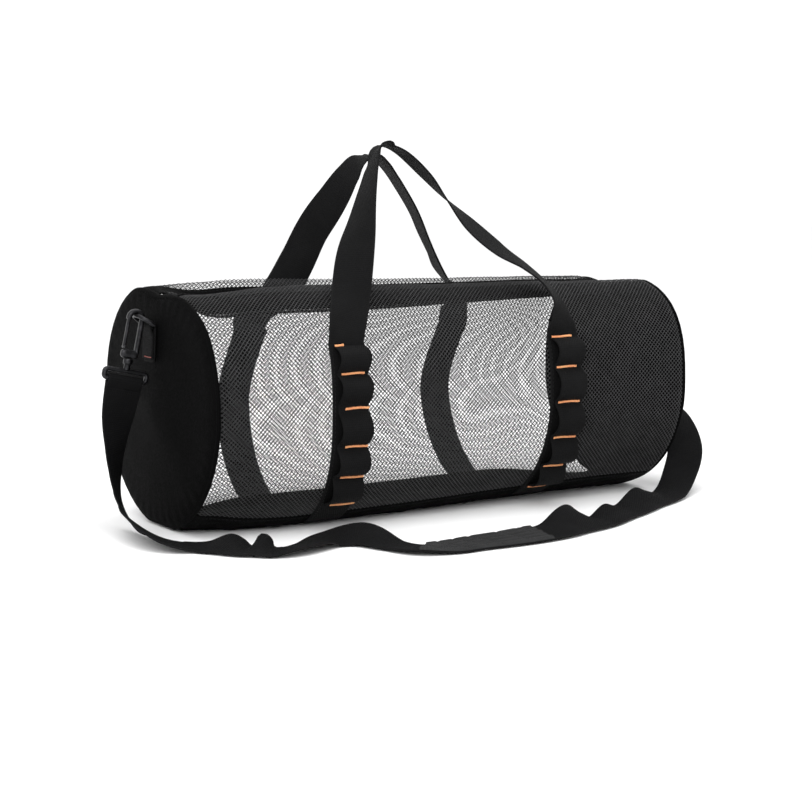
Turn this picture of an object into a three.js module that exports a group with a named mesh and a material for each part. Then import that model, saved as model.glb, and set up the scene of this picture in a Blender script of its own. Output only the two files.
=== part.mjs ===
// A see-through net beach bag in the shape of a barrel: a net wall with a zip sunk along its top, a solid
// bottom panel and solid domed ends, two webbing carrying handles whose front straps hold rows of sewn
// loops, and a loose shoulder strap snapped to a ring at each end. Millimetres, +Z up, +X along the bag,
// -Y to the front. The origin is on the floor, under the middle of the bag.
import * as THREE from 'three';

// Driving dimensions
const CLEARANCE = 0.3;             // gap between pieces that touch
const NET_THICKNESS = 1.2;
const BOTTOM_THICKNESS = 1.6;
const END_THICKNESS = 2.0;
const WEBBING_WIDTH = 40;
const WEBBING_THICKNESS = 2.0;
const TUBE_END = 283.5;            // where the net and the bottom panel stop, measured from the middle
const TUBE_CORNER_START = 276;
const TUBE_CORNER_RADIUS = 12;
const ZIP_PANEL_HALF_WIDTH = 36;
const ZIP_HALF_GAP = 5.3;
const ZIP_COIL_WIDTH = 10;
const ZIP_COIL_HEIGHT = 2.6;
const ZIP_END = 282;
const SAG_HALF_WIDTH = 60;         // the top sags between two crests this far from the middle
const DROP_START = 0.8;            // share of the height from which the front crest is dropped
const DROP_BACK = 60;              // the drop fades in from this far behind the middle
const DROP_FRONT = 30;             // and is full from this far in front of it
const BOTTOM_EDGE_ANGLE = 145;     // degrees from the top of the bag, down its front
const BOTTOM_BACK_ANGLE = 151;     // and down its back
const BOTTOM_TAPER_DEG = 12;       // the panel's back edge runs this much further down at the ends
const BOTTOM_TAPER_START = 150;    // measured from the middle of the bag
const STRAP_FOOT_ANGLE = 153;
const STRAP_X = { left: -145, right: 121 };
const HANDLE_LEAVE_HEIGHT = 188;   // where a handle leaves the wall
const BACK_STRAP_EASE = 0.3;       // the back straps lie looser over the bend in the slack wall
const LOOP_BULGE = 11;
const LOW_LOOP_BULGE = 8.5;        // the lowest loop of a row lies tighter
const LOOP_STEPS = 8;
const PIPING_RADIUS = 1.7;
const PIPING_SIDES = 5;
const RING_WIRE_RADIUS = 2.0;
const RING_HALF_WIDTH = 15;
const RING_DEPTH = 16;
const RING_LIFT_DEG = 35;
const RING_Y = 0;
const RING_BAR_HEIGHT = 208;
const TAB_WIDTH = 25;
const TAB_FOOT_HEIGHT = 170;
const HOOK_THICKNESS = 6;
const HOOK_BOW_RADIUS = 5;         // inside
const HOOK_WALL = 4;
const HOOK_OPENING = 30;           // from the nose of the bow down to the hook's base
const HOOK_BASE = 9;
const HOOK_POST = 11;
const HOOK_TILT_DEG = 12;          // a hook's foot stands out from the end
const EYE_INSIDE = { width: 42, height: 6 };
const EYE_WALL = 3.2;
const PAD_THICKNESS = 2.4;

// One row for each cross-section along the bag. Sag is the depth of the valley along the top, drop how much
// lower its front crest is than its back crest, and sink how far the round underside is pressed flat on the
// floor. Shoulder and belly are the roundness of the upper and lower half: 2 is an ellipse, and larger is
// squarer. Front and back move that side of the section along X. Slump is the share of the lean by which the
// slack back wall slants in from its belly to its crest.
const SECTION_COLUMNS = [
  'x', 'width', 'height', 'sag', 'drop', 'sink', 'shoulder', 'belly', 'front', 'back', 'slump',
];
const SECTIONS = [
  [-300, 264, 248, 2, 6, 4, 2.25, 1.93, 0, -12, 0],
  [-270, 267, 252, 13, 6, 4, 2.3, 1.97, 0, -10, 0],
  [-235, 267, 254, 38, 4, 6, 2.5, 2.3, 0, -7, 0.4],
  [-190, 267, 256, 40, 3, 7, 2.6, 2.5, 0, -3, 0.95],
  [-60, 265, 254, 38, 2, 7, 2.6, 2.35, 0, 0, 1],
  [80, 264, 252, 32, 1, 5, 2.6, 2.1, 0, 0, 1],
  [200, 264, 251, 27, 1, 3, 2.65, 2, 1, 0, 0.6],
  [270, 264, 248.5, 24, 0, 3, 2.8, 2, 4, 0, 0],
  [300, 262, 246, 4, 0, 3, 2.8, 2.05, 5, 0, 0],
].map((row) => Object.fromEntries(row.map((value, column) => [SECTION_COLUMNS[column], value])));

// The slanting back wall: its distance behind the middle at a height, and how far it comes in for each
// millimetre up. It blends into the round belly and crest over a distance.
const SLANT = { height: 131, depth: 127, slope: 0.69, blend: 18 };

// The solid end from its seam to its middle: distance from the middle of the bag, and inset from the section
const END_PROFILE = [
  { x: 287.6, inset: 4.0 },
  { x: 289.3, inset: 7.5 },
  { x: 290.4, inset: 14 },
  { x: 292.6, inset: 42 },
  { x: 294.6, inset: 80 },
  { x: 296.0, inset: 112 },
];
const END_CENTRE_X = 296.5;

// Heights of the bar tacks that hold each row of loops to its strap
const TACK_HEIGHTS = {
  left: [188, 161, 127, 89, 58, 29],
  right: [186, 155, 118, 80, 48, 23],
};

// Free run of the handles: a point of the middle line, and the compass heading of the webbing's width
const FRONT_HANDLE = [
  { x: -142, y: -124, z: 206, heading: 0 },
  { x: -128, y: -106, z: 236, heading: -14 },
  { x: -111, y: -85, z: 276, heading: -42 },
  { x: -93, y: -66, z: 312, heading: -78 },
  { x: -76, y: -49, z: 346, heading: -97 },
  { x: -62, y: -36, z: 371, heading: -107 },
  { x: -52, y: -29, z: 385, heading: -113 },
  { x: -40, y: -26, z: 390, heading: -110 },
  { x: -25, y: -30, z: 384, heading: -104 },
  { x: 0, y: -44, z: 358, heading: -105 },
  { x: 18, y: -56, z: 333, heading: -122 },
  { x: 40, y: -69, z: 306, heading: -147 },
  { x: 67, y: -82, z: 281, heading: -150 },
  { x: 95, y: -92, z: 262, heading: -136 },
  { x: 114, y: -104, z: 243, heading: -131 },
  { x: 121.5, y: -120, z: 222, heading: -139 },
  { x: 121, y: -126, z: 205, heading: -161 },
];
const BACK_HANDLE = [
  { x: -141.6, y: 95.2, z: 199, heading: 0 },
  { x: -132.6, y: 86, z: 214, heading: -4 },
  { x: -116.5, y: 75, z: 232, heading: -17 },
  { x: -97, y: 71, z: 265, heading: -35 },
  { x: -80, y: 66, z: 300, heading: -48 },
  { x: -65, y: 47, z: 333, heading: -62 },
  { x: -53, y: 31, z: 361, heading: -78 },
  { x: -44, y: 21, z: 376, heading: -90 },
  { x: -33, y: 18, z: 381, heading: -98 },
  { x: -21, y: 20, z: 376, heading: -105 },
  { x: -2, y: 28, z: 362, heading: -108 },
  { x: 22, y: 40, z: 340, heading: -108 },
  { x: 45, y: 53, z: 316, heading: -109 },
  { x: 64, y: 63, z: 290, heading: -109 },
  { x: 80, y: 66, z: 264, heading: -111 },
  { x: 104, y: 83, z: 240, heading: -114 },
  { x: 118, y: 88, z: 225, heading: -141 },
  { x: 122, y: 89, z: 212, heading: -167 },
  { x: 121, y: 90, z: 200, heading: -178 },
];

// The shoulder strap: its middle line, the height of its lower edge, and the heading and rise of its width in
// degrees
const STRAP_ROWS = [
  { x: -329.4, y: 0, low: 146.4, heading: 0, rise: -12 },
  { x: -335.2, y: 1, low: 117, heading: 14, rise: -9 },
  { x: -337, y: 5, low: 88, heading: 36, rise: -4 },
  { x: -337.5, y: 7, low: 60, heading: 50, rise: -8 },
  { x: -338, y: 1, low: 28, heading: 58, rise: -22 },
  { x: -338, y: -25, low: 6, heading: 44, rise: -38 },
  { x: -339, y: -60, low: 3, heading: 22, rise: -34 },
  { x: -336, y: -95, low: 2.6, heading: 14, rise: -22 },
  { x: -325, y: -115, low: 2, heading: 30, rise: -9 },
  { x: -305, y: -127, low: 2, heading: 46, rise: 2 },
  { x: -291, y: -146, low: 2.4, heading: 36, rise: 16 },
  { x: -283, y: -157, low: 2, heading: 38, rise: 10 },
  { x: -276, y: -165, low: 2, heading: 44, rise: 2 },
  { x: -267, y: -174, low: 1.8, heading: 48, rise: 21 },
  { x: -255, y: -183, low: 2.2, heading: 58, rise: 2 },
  { x: -238, y: -187, low: 2, heading: 90, rise: -8 },
  { x: -213, y: -178, low: 2, heading: 108, rise: -8 },
  { x: -186, y: -168, low: 2.4, heading: 92, rise: 8 },
  { x: -159, y: -180, low: 1.8, heading: 54, rise: 22 },
  { x: -142, y: -214, low: 2, heading: 32, rise: 0 },
  { x: -129, y: -245, low: 2, heading: 56, rise: -4 },
  { x: -104, y: -254, low: 2, heading: 80, rise: 2 },
  { x: -72, y: -253, low: 1.8, heading: 86, rise: 4 },
  { x: -38, y: -254, low: 1.8, heading: 88, rise: 6 },
  { x: -8, y: -253, low: 2, heading: 92, rise: 8 },
  { x: 22, y: -249, low: 2.4, heading: 98, rise: 10 },
  { x: 54, y: -242, low: 2, heading: 104, rise: 36 },
  { x: 83, y: -231, low: 2.4, heading: 108, rise: 17 },
  { x: 106, y: -221, low: 2.4, heading: 110, rise: 2 },
  { x: 143, y: -201, low: 2, heading: 114, rise: 14 },
  { x: 170, y: -187, low: 2.4, heading: 116, rise: 5 },
  { x: 210, y: -166, low: 2, heading: 119, rise: 24 },
  { x: 240, y: -150, low: 2.4, heading: 122, rise: 12 },
  { x: 266, y: -135, low: 4.5, heading: 126, rise: 0 },
  { x: 298, y: -113, low: 17, heading: 133, rise: -4 },
  { x: 322, y: -95, low: 46, heading: 139, rise: 8 },
  { x: 331, y: -62, low: 78, heading: 152, rise: 10 },
  { x: 334, y: -23, low: 100, heading: 168, rise: 0 },
  { x: 332.4, y: -3, low: 118, heading: 178, rise: -9 },
  { x: 326.1, y: 0, low: 146.4, heading: 180, rise: -12 },
];
const STRAP_ROUTE = STRAP_ROWS.map((row) => ({
  ...row,
  z: row.low + WEBBING_WIDTH / 2 * Math.abs(Math.sin(THREE.MathUtils.degToRad(row.rise))),
}));
const STRAP_STEPS = 114;
const PAD_ROWS = { first: 20, last: 24.4 };  // rows of the route between which the strap is doubled

const BLACK_NET = { color: 0x2a2a2b, roughness: 0.75, metalness: 0 };
const BLACK_CLOTH = { color: 0x131314, roughness: 0.7, metalness: 0 };
const BLACK_WEBBING = { color: 0x18181a, roughness: 0.8, metalness: 0 };
const DARK_METAL = { color: 0x4a4b4e, roughness: 0.35, metalness: 0.9 };

const bag = new THREE.Group();

// Adds one named piece with a material of its own
function addPiece(name, geometry, finish) {
  const piece = new THREE.Mesh(geometry, new THREE.MeshStandardMaterial(finish));
  piece.name = name;
  bag.add(piece);
  return piece;
}

// Reads a column of a table at x, with a smooth curve through its rows
function readTable(table, column, x) {
  const last = table.length - 1;
  if (x <= table[0].x) return table[0][column];
  if (x >= table[last].x) return table[last][column];
  const k = table.findIndex((row) => row.x > x) - 1;
  const slope = (i) => {
    const a = table[Math.max(0, i - 1)];
    const b = table[Math.min(last, i + 1)];
    return (b[column] - a[column]) / (b.x - a.x);
  };
  const span = table[k + 1].x - table[k].x;
  const t = (x - table[k].x) / span;
  const rise = table[k + 1][column] - table[k][column];
  const [m0, m1] = [slope(k) * span, slope(k + 1) * span];
  return table[k][column] + m0 * t + (3 * rise - 2 * m0 - m1) * t * t + (m0 + m1 - 2 * rise) * t * t * t;
}

// Point of the bag's outer surface in its cross-section at x: degrees run from the top down the front
function sectionPoint(x, degrees) {
  const width = readTable(SECTIONS, 'width', x);
  const height = readTable(SECTIONS, 'height', x);
  const angle = THREE.MathUtils.degToRad(degrees);
  const [s, c] = [Math.sin(angle), Math.cos(angle)];
  const power = 2 / readTable(SECTIONS, c > 0 ? 'shoulder' : 'belly', x);
  const y = -width / 2 * Math.sign(s) * Math.abs(s) ** power;
  const halfHeight = height / 2 + (c > 0 ? 0 : readTable(SECTIONS, 'sink', x));
  let z = height / 2 + halfHeight * Math.sign(c) * Math.abs(c) ** power;
  const beyond = y - SLANT.depth + SLANT.slope * (z - SLANT.height);
  const blended = Math.max(0, Math.min(beyond, SLANT.blend) + SLANT.blend) ** 2 / (4 * SLANT.blend);
  const leanIn = Math.max(0, readTable(SECTIONS, 'slump', x)) * Math.max(beyond, blended);
  if (c > 0) {
    const { smoothstep } = THREE.MathUtils;
    const frontCrest = smoothstep(z, DROP_START * height, height) * smoothstep(-y, -DROP_BACK, DROP_FRONT);
    z -= readTable(SECTIONS, 'drop', x) * frontCrest;
    const reach = Math.max(0, 1 - Math.hypot(y, 4) / SAG_HALF_WIDTH);
    z -= readTable(SECTIONS, 'sag', x) * reach ** 1.15;
  }
  const past = Math.max(0, Math.abs(x) - TUBE_CORNER_START);
  const inset = TUBE_CORNER_RADIUS - Math.sqrt(Math.max(0, TUBE_CORNER_RADIUS ** 2 - past ** 2));
  const placed = shrink(x, y - leanIn, Math.max(0, z), Math.min(inset, TUBE_CORNER_RADIUS));
  return placed.setX(x + sideShift(x, y));
}

// How far the front or back of the bag is moved along it: an end is not quite square to the bag
function sideShift(x, y) {
  const place = THREE.MathUtils.clamp(x, -TUBE_CORNER_START, TUBE_CORNER_START);
  const towardsBack = y / readTable(SECTIONS, 'width', place) + 0.5;
  const [front, back] = ['front', 'back'].map((column) => readTable(SECTIONS, column, place));
  return THREE.MathUtils.lerp(front, back, towardsBack);
}

// Moves a point of a section towards the section's middle by an inset
function shrink(x, y, z, inset) {
  const middle = readTable(SECTIONS, 'height', x) / 2;
  const keep = 1 - inset / middle;
  return new THREE.Vector3(x, y * keep, middle + (z - middle) * keep);
}

// Outward normal of the section, in the plane of the section
function sectionNormal(x, degrees) {
  const step = 0.6;
  const along = sectionPoint(x, degrees + step).sub(sectionPoint(x, degrees - step));
  return new THREE.Vector3(0, along.z, -along.y).normalize();
}

// Point at a distance outside (or, if negative, inside) the bag's surface
function offSurface(x, degrees, distance) {
  return sectionPoint(x, degrees).addScaledVector(sectionNormal(x, degrees), distance);
}

// Angle at which the front of the bag reaches a height
function angleAtHeight(x, height) {
  let [low, high] = [35, 160];
  for (let i = 0; i < 40; i += 1) {
    const middle = (low + high) / 2;
    if (sectionPoint(x, middle).z > height) low = middle;
    else high = middle;
  }
  return low;
}

// Angle at which the top of the bag is a distance from its middle line
function angleAtSide(x, distance) {
  const half = readTable(SECTIONS, 'width', x) / 2;
  const roundness = readTable(SECTIONS, 'shoulder', x);
  return THREE.MathUtils.radToDeg(Math.asin((distance / half) ** (roundness / 2)));
}

function evenSteps(from, to, count) {
  return Array.from({ length: count + 1 }, (_, i) => from + (to - from) * i / count);
}

// Closed solid from points and polygons, turned so that its faces point out
function closedSolid(points, polygons) {
  const triangles = [];
  for (const p of polygons) {
    for (let i = 1; i + 1 < p.length; i += 1) triangles.push([p[0], p[i], p[i + 1]]);
  }
  let volume = 0;
  const cross = new THREE.Vector3();
  for (const [a, b, c] of triangles) volume += points[a].dot(cross.crossVectors(points[b], points[c]));
  const geometry = new THREE.BufferGeometry();
  geometry.setAttribute('position', new THREE.Float32BufferAttribute(points.flatMap((p) => p.toArray()), 3));
  geometry.setIndex(triangles.flatMap(([a, b, c]) => (volume > 0 ? [a, b, c] : [a, c, b])));
  geometry.computeVertexNormals();
  return geometry;
}

// Wall between two grids of points with the same rows and columns
function wallSolid(outer, inner) {
  const [rows, columns] = [outer.length, outer[0].length];
  const points = [...outer.flat(), ...inner.flat()];
  const at = (side, r, c) => side * rows * columns + r * columns + c;
  const polygons = [];
  for (let r = 0; r + 1 < rows; r += 1) {
    for (let c = 0; c + 1 < columns; c += 1) {
      polygons.push([at(0, r, c), at(0, r, c + 1), at(0, r + 1, c + 1), at(0, r + 1, c)]);
      polygons.push([at(1, r, c), at(1, r + 1, c), at(1, r + 1, c + 1), at(1, r, c + 1)]);
    }
  }
  for (let c = 0; c + 1 < columns; c += 1) {
    const r = rows - 1;
    polygons.push([at(0, 0, c), at(1, 0, c), at(1, 0, c + 1), at(0, 0, c + 1)]);
    polygons.push([at(0, r, c), at(0, r, c + 1), at(1, r, c + 1), at(1, r, c)]);
  }
  for (let r = 0; r + 1 < rows; r += 1) {
    const c = columns - 1;
    polygons.push([at(0, r, 0), at(0, r + 1, 0), at(1, r + 1, 0), at(1, r, 0)]);
    polygons.push([at(0, r, c), at(1, r, c), at(1, r + 1, c), at(0, r + 1, c)]);
  }
  return closedSolid(points, polygons);
}

// Rod through rings of points with the same count: its ends are closed by flat faces, or it is a closed loop
function rodSolid(rings, loop) {
  const sides = rings[0].length;
  const points = rings.flat();
  const polygons = [];
  const joins = loop ? rings.length : rings.length - 1;
  for (let r = 0; r < joins; r += 1) {
    const next = (r + 1) % rings.length;
    for (let s = 0; s < sides; s += 1) {
      const t = (s + 1) % sides;
      polygons.push([r * sides + s, r * sides + t, next * sides + t, next * sides + s]);
    }
  }
  if (!loop) {
    const first = Array.from({ length: sides }, (_, s) => s);
    polygons.push(first.slice().reverse());
    polygons.push(first.map((s) => (rings.length - 1) * sides + s));
  }
  return closedSolid(points, polygons);
}

// Piece of the bag's wall between two edges, each given by its angle at x
function bodyPanel(fromAngle, toAngle, thickness, across, alongX) {
  const rows = (distance) => alongX.map((x) => evenSteps(fromAngle(x), toAngle(x), across)
    .map((degrees) => offSurface(x, degrees, distance)));
  return wallSolid(rows(0), rows(-thickness));
}

// Webbing through stations: each has its two edges and the direction of its face
function webbingSolid(stations, thickness) {
  return rodSolid(stations.map(({ left, right, face }) => [
    left.clone().addScaledVector(face, thickness / 2),
    right.clone().addScaledVector(face, thickness / 2),
    right.clone().addScaledVector(face, -thickness / 2),
    left.clone().addScaledVector(face, -thickness / 2),
  ]), false);
}

// Stations of webbing that lies on the front (side 1) or back (side -1) of the bag
function stationsOnWall(x, side, angles, offsetAt) {
  return angles.map((degrees) => ({
    left: offSurface(x - WEBBING_WIDTH / 2, side * degrees, offsetAt(degrees)),
    right: offSurface(x + WEBBING_WIDTH / 2, side * degrees, offsetAt(degrees)),
    face: sectionNormal(x, side * degrees),
  }));
}

// Stations along a smooth curve through the rows of a route
function stationsOnRoute(route, width, count, lift = 0) {
  const points = route.map((row) => new THREE.Vector3(row.x, row.y, row.z));
  const curve = new THREE.CatmullRomCurve3(points, false, 'centripetal');
  return evenSteps(0, 1, count).map((t) => {
    const place = t * (route.length - 1);
    const k = Math.min(Math.floor(place), route.length - 2);
    const blend = place - k;
    const mix = (column) => THREE.MathUtils.degToRad(
      (route[k][column] ?? 0) * (1 - blend) + (route[k + 1][column] ?? 0) * blend);
    const along = curve.getTangent(t);
    const heading = mix('heading');
    const across = new THREE.Vector3(Math.cos(heading), Math.sin(heading), Math.tan(mix('rise')));
    across.addScaledVector(along, -across.dot(along)).normalize();
    const face = new THREE.Vector3().crossVectors(across, along);
    const middle = curve.getPoint(t).addScaledVector(face, lift);
    return {
      left: middle.clone().addScaledVector(across, -width / 2),
      right: middle.clone().addScaledVector(across, width / 2),
      face,
    };
  });
}

// Round bar through points that lie in order on a curve
function wireSolid(points, radius, sides, loop) {
  const count = points.length;
  const first = loop ? points[count - 1] : points[0];
  let side = null;
  const rings = points.map((p, i) => {
    const before = i > 0 ? points[i - 1] : first;
    const after = i + 1 < count ? points[i + 1] : (loop ? points[0] : p);
    const along = after.clone().sub(before).normalize();
    if (!side) side = new THREE.Vector3(0.31, 0.24, 0.92);
    side = side.clone().addScaledVector(along, -side.dot(along)).normalize();
    const other = new THREE.Vector3().crossVectors(along, side);
    return evenSteps(0, 2 * Math.PI, sides).slice(0, -1).map((a) => p.clone()
      .addScaledVector(side, radius * Math.cos(a)).addScaledVector(other, radius * Math.sin(a)));
  });
  return rodSolid(rings, loop);
}

// Net walls, zip and bottom
const bodySteps = evenSteps(-TUBE_END, TUBE_END, 22);
bodySteps.splice(1, 0, -TUBE_CORNER_START);
bodySteps.splice(-1, 0, TUBE_CORNER_START);
const edgeGap = 0.14;  // degrees, about half the clearance on each side of a seam
const zipEdge = (x) => angleAtSide(x, ZIP_PANEL_HALF_WIDTH);
const zipInner = (x) => angleAtSide(x, ZIP_HALF_GAP);
const frontEdge = () => BOTTOM_EDGE_ANGLE;
const backEdge = (x) => BOTTOM_BACK_ANGLE
  + BOTTOM_TAPER_DEG * THREE.MathUtils.smoothstep(Math.abs(x), BOTTOM_TAPER_START, TUBE_END);
for (const [name, side, lowEdge] of [['front', 1, frontEdge], ['back', -1, backEdge]]) {
  const net = bodyPanel((x) => side * (zipEdge(x) + edgeGap), (x) => side * (lowEdge(x) - edgeGap),
    NET_THICKNESS, 14, bodySteps);
  addPiece(`net_${name}`, net, BLACK_NET);
  const zipPanel = bodyPanel((x) => side * zipInner(x), (x) => side * (zipEdge(x) - edgeGap),
    NET_THICKNESS, 2, bodySteps);
  addPiece(`zip_panel_${name}`, zipPanel, BLACK_CLOTH);
}
const bottom = bodyPanel(() => BOTTOM_EDGE_ANGLE + edgeGap, (x) => 360 - backEdge(x) - edgeGap,
  BOTTOM_THICKNESS, 10, bodySteps);
addPiece('bottom_panel', bottom, BLACK_CLOTH);

// The zip's coil lies in the sag between its two panels
const zipSteps = bodySteps.filter((x) => Math.abs(x) < ZIP_END);
const zipTop = (x) => sectionPoint(x, 0).z;
const coilCorners = [[-1, 1], [1, 1], [1, -1], [-1, -1]];
const coilRing = (x) => coilCorners.map(([a, b]) =>
  new THREE.Vector3(x, a * ZIP_COIL_WIDTH / 2, zipTop(x) + b * ZIP_COIL_HEIGHT / 2));
const coil = rodSolid([-ZIP_END, ...zipSteps, ZIP_END].map(coilRing), false);
addPiece('zip_coil', coil, BLACK_CLOTH);

// The slider is closed at the right end, with its pull lying along the coil
const SLIDER = { x: 258, length: 12, width: 9, height: 4, pullLength: 30, pullWidth: 7, pullHeight: 1.6 };
const sliderEnds = [SLIDER.x - SLIDER.length / 2, SLIDER.x + SLIDER.length / 2];
const sliderFloor = Math.max(...sliderEnds.map(zipTop)) + ZIP_COIL_HEIGHT / 2 + 2 * CLEARANCE;
const sliderBody = new THREE.BoxGeometry(SLIDER.length, SLIDER.width, SLIDER.height);
const slider = addPiece('zip_slider', sliderBody, DARK_METAL);
slider.position.set(SLIDER.x, 0, sliderFloor + SLIDER.height / 2);
const pullBody = new THREE.BoxGeometry(SLIDER.pullLength, SLIDER.pullWidth, SLIDER.pullHeight);
const pull = addPiece('zip_pull', pullBody, DARK_METAL);
pull.position.set(SLIDER.x - SLIDER.length / 2 - CLEARANCE - SLIDER.pullLength / 2, 0,
  sliderFloor + SLIDER.height - SLIDER.pullHeight / 2);

// Solid ends and the piping in their seams
const endAngles = evenSteps(0, 360, 40).slice(0, -1);
function endSolid(side) {
  const centre = readTable(SECTIONS, 'height', side * END_CENTRE_X) / 2;
  const layer = (deeper) => {
    const rings = END_PROFILE.map(({ x, inset }, row) => endAngles.map((degrees) => {
      const p = sectionPoint(side * TUBE_CORNER_START, degrees);
      const placed = shrink(side * TUBE_CORNER_START, p.y, p.z, inset + deeper);
      return placed.setX(side * (row > 0 ? x - deeper : x) + sideShift(side * x, placed.y));
    }));
    const tipX = side * (END_CENTRE_X - deeper) + sideShift(side * END_CENTRE_X, 0);
    return { rings, tip: new THREE.Vector3(tipX, 0, centre) };
  };
  const [outside, inside] = [layer(0), layer(END_THICKNESS)];
  const count = endAngles.length;
  const points = [...outside.rings.flat(), outside.tip, ...inside.rings.flat(), inside.tip];
  const half = points.length / 2;
  const polygons = [];
  for (let c = 0; c < count; c += 1) {
    const d = (c + 1) % count;
    for (let r = 0; r + 1 < END_PROFILE.length; r += 1) {
      const [a, b] = [r * count, (r + 1) * count];
      polygons.push([a + c, a + d, b + d, b + c]);
      polygons.push([half + a + d, half + a + c, half + b + c, half + b + d]);
    }
    const lastRing = (END_PROFILE.length - 1) * count;
    polygons.push([lastRing + c, lastRing + d, half - 1]);
    polygons.push([half + lastRing + d, half + lastRing + c, 2 * half - 1]);
    polygons.push([d, c, half + c, half + d]);
  }
  return closedSolid(points, polygons);
}

function pipingSolid(side) {
  const seamX = (TUBE_END + END_PROFILE[0].x) / 2;
  const seamInset = END_PROFILE[0].inset;
  const rings = endAngles.map((degrees) => {
    const x = side * TUBE_CORNER_START;
    const p = sectionPoint(x, degrees);
    const out = sectionNormal(x, degrees);
    const middle = shrink(x, p.y, p.z, seamInset);
    middle.setX(side * seamX + sideShift(x, middle.y));
    return evenSteps(0, 360, PIPING_SIDES).slice(0, -1).map((turn) => {
      const angle = THREE.MathUtils.degToRad(turn);
      return middle.clone().addScaledVector(out, PIPING_RADIUS * Math.cos(angle))
        .add(new THREE.Vector3(PIPING_RADIUS * Math.sin(angle), 0, 0));
    });
  });
  return rodSolid(rings, true);
}

// Distance from the middle of the bag at which a solid end lies, at a place on it
function endFaceX(side, y, z) {
  const x = side * TUBE_CORNER_START;
  const middle = readTable(SECTIONS, 'height', x) / 2;
  const place = Math.atan2(-y, z - middle);
  let [low, high] = [0, 360];
  let reach = middle;
  const wanted = (THREE.MathUtils.radToDeg(place) + 360) % 360;
  for (let i = 0; i < 40; i += 1) {
    const angle = (low + high) / 2;
    const p = sectionPoint(x, angle);
    reach = Math.hypot(p.y, p.z - middle);
    const here = (THREE.MathUtils.radToDeg(Math.atan2(-p.y, p.z - middle)) + 360) % 360;
    if (here < wanted) low = angle;
    else high = angle;
  }
  const inset = middle * (1 - Math.hypot(y, z - middle) / reach);
  const rows = [...END_PROFILE, { x: END_CENTRE_X, inset: middle }];
  const k = Math.max(0, rows.findIndex((row) => row.inset > inset) - 1);
  const blend = (inset - rows[k].inset) / (rows[k + 1].inset - rows[k].inset);
  return side * (rows[k].x + blend * (rows[k + 1].x - rows[k].x)) + sideShift(x, y);
}

for (const [name, side] of [['left', -1], ['right', 1]]) {
  addPiece(`end_${name}`, endSolid(side), BLACK_CLOTH);
  addPiece(`piping_${name}`, pipingSolid(side), BLACK_CLOTH);
}

// Handles: each is one webbing, up one strap on the wall, over in a free arch and down the other strap
const restOnWall = CLEARANCE + WEBBING_THICKNESS / 2;
function handleSolid(side, arch, ease) {
  const climb = (x) => {
    const top = angleAtHeight(x, HANDLE_LEAVE_HEIGHT);
    return stationsOnWall(x, side, evenSteps(STRAP_FOOT_ANGLE, top, 18), () => restOnWall + ease);
  };
  const up = climb(STRAP_X.left);
  const down = climb(STRAP_X.right).reverse();
  const turned = down.map(({ left, right, face }) => ({ left: right, right: left, face }));
  const middleOf = (station) => station.left.clone().add(station.right).multiplyScalar(0.5);
  const asRow = (station, heading) => ({ ...middleOf(station), heading });
  const route = [asRow(up[up.length - 1], 0), ...arch, asRow(turned[0], -180)];
  const free = stationsOnRoute(route, WEBBING_WIDTH, 44).slice(1, -1);
  const facing = free.map((station) => ({ ...station, face: station.face.clone().multiplyScalar(side) }));
  return webbingSolid([...up, ...facing, ...turned], WEBBING_THICKNESS);
}
addPiece('handle_front', handleSolid(1, FRONT_HANDLE, 0), BLACK_WEBBING);
addPiece('handle_back', handleSolid(-1, BACK_HANDLE, BACK_STRAP_EASE), BLACK_WEBBING);

// Rows of loops on the front straps: webbing tacked down at intervals and slack between the tacks
for (const [name, x] of Object.entries(STRAP_X)) {
  const tacks = TACK_HEIGHTS[name].map((height) => angleAtHeight(x, height));
  const angles = [];
  for (let i = 0; i + 1 < tacks.length; i += 1) {
    angles.push(...evenSteps(tacks[i], tacks[i + 1], LOOP_STEPS).slice(i ? 1 : 0));
  }
  const base = restOnWall + WEBBING_THICKNESS + CLEARANCE;
  const bulge = (degrees) => {
    const k = Math.min(tacks.length - 2, Math.max(0, tacks.findIndex((t) => t > degrees + 1e-6) - 1));
    const place = Math.min(1, (degrees - tacks[k]) / (tacks[k + 1] - tacks[k]));
    const slack = k === tacks.length - 2 ? LOW_LOOP_BULGE : LOOP_BULGE;
    return base + slack * Math.sin(Math.PI * place) ** 0.8;
  };
  const loops = webbingSolid(stationsOnWall(x, 1, angles, bulge), WEBBING_THICKNESS);
  addPiece(`loops_${name}`, loops, BLACK_WEBBING);
}

// Ring tab on each end: webbing doubled round the bar of a D-ring
const layer = WEBBING_THICKNESS / 2;
function tabFaceX(side, z) {
  const across = evenSteps(RING_Y - TAB_WIDTH / 2, RING_Y + TAB_WIDTH / 2, 4);
  return side * Math.max(...across.map((y) => Math.abs(endFaceX(side, y, z))));
}

function ringBar(side) {
  const wrap = RING_WIRE_RADIUS + CLEARANCE + layer;
  const x = tabFaceX(side, RING_BAR_HEIGHT) + side * (CLEARANCE + layer + wrap);
  return new THREE.Vector3(x, RING_Y, RING_BAR_HEIGHT);
}

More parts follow.
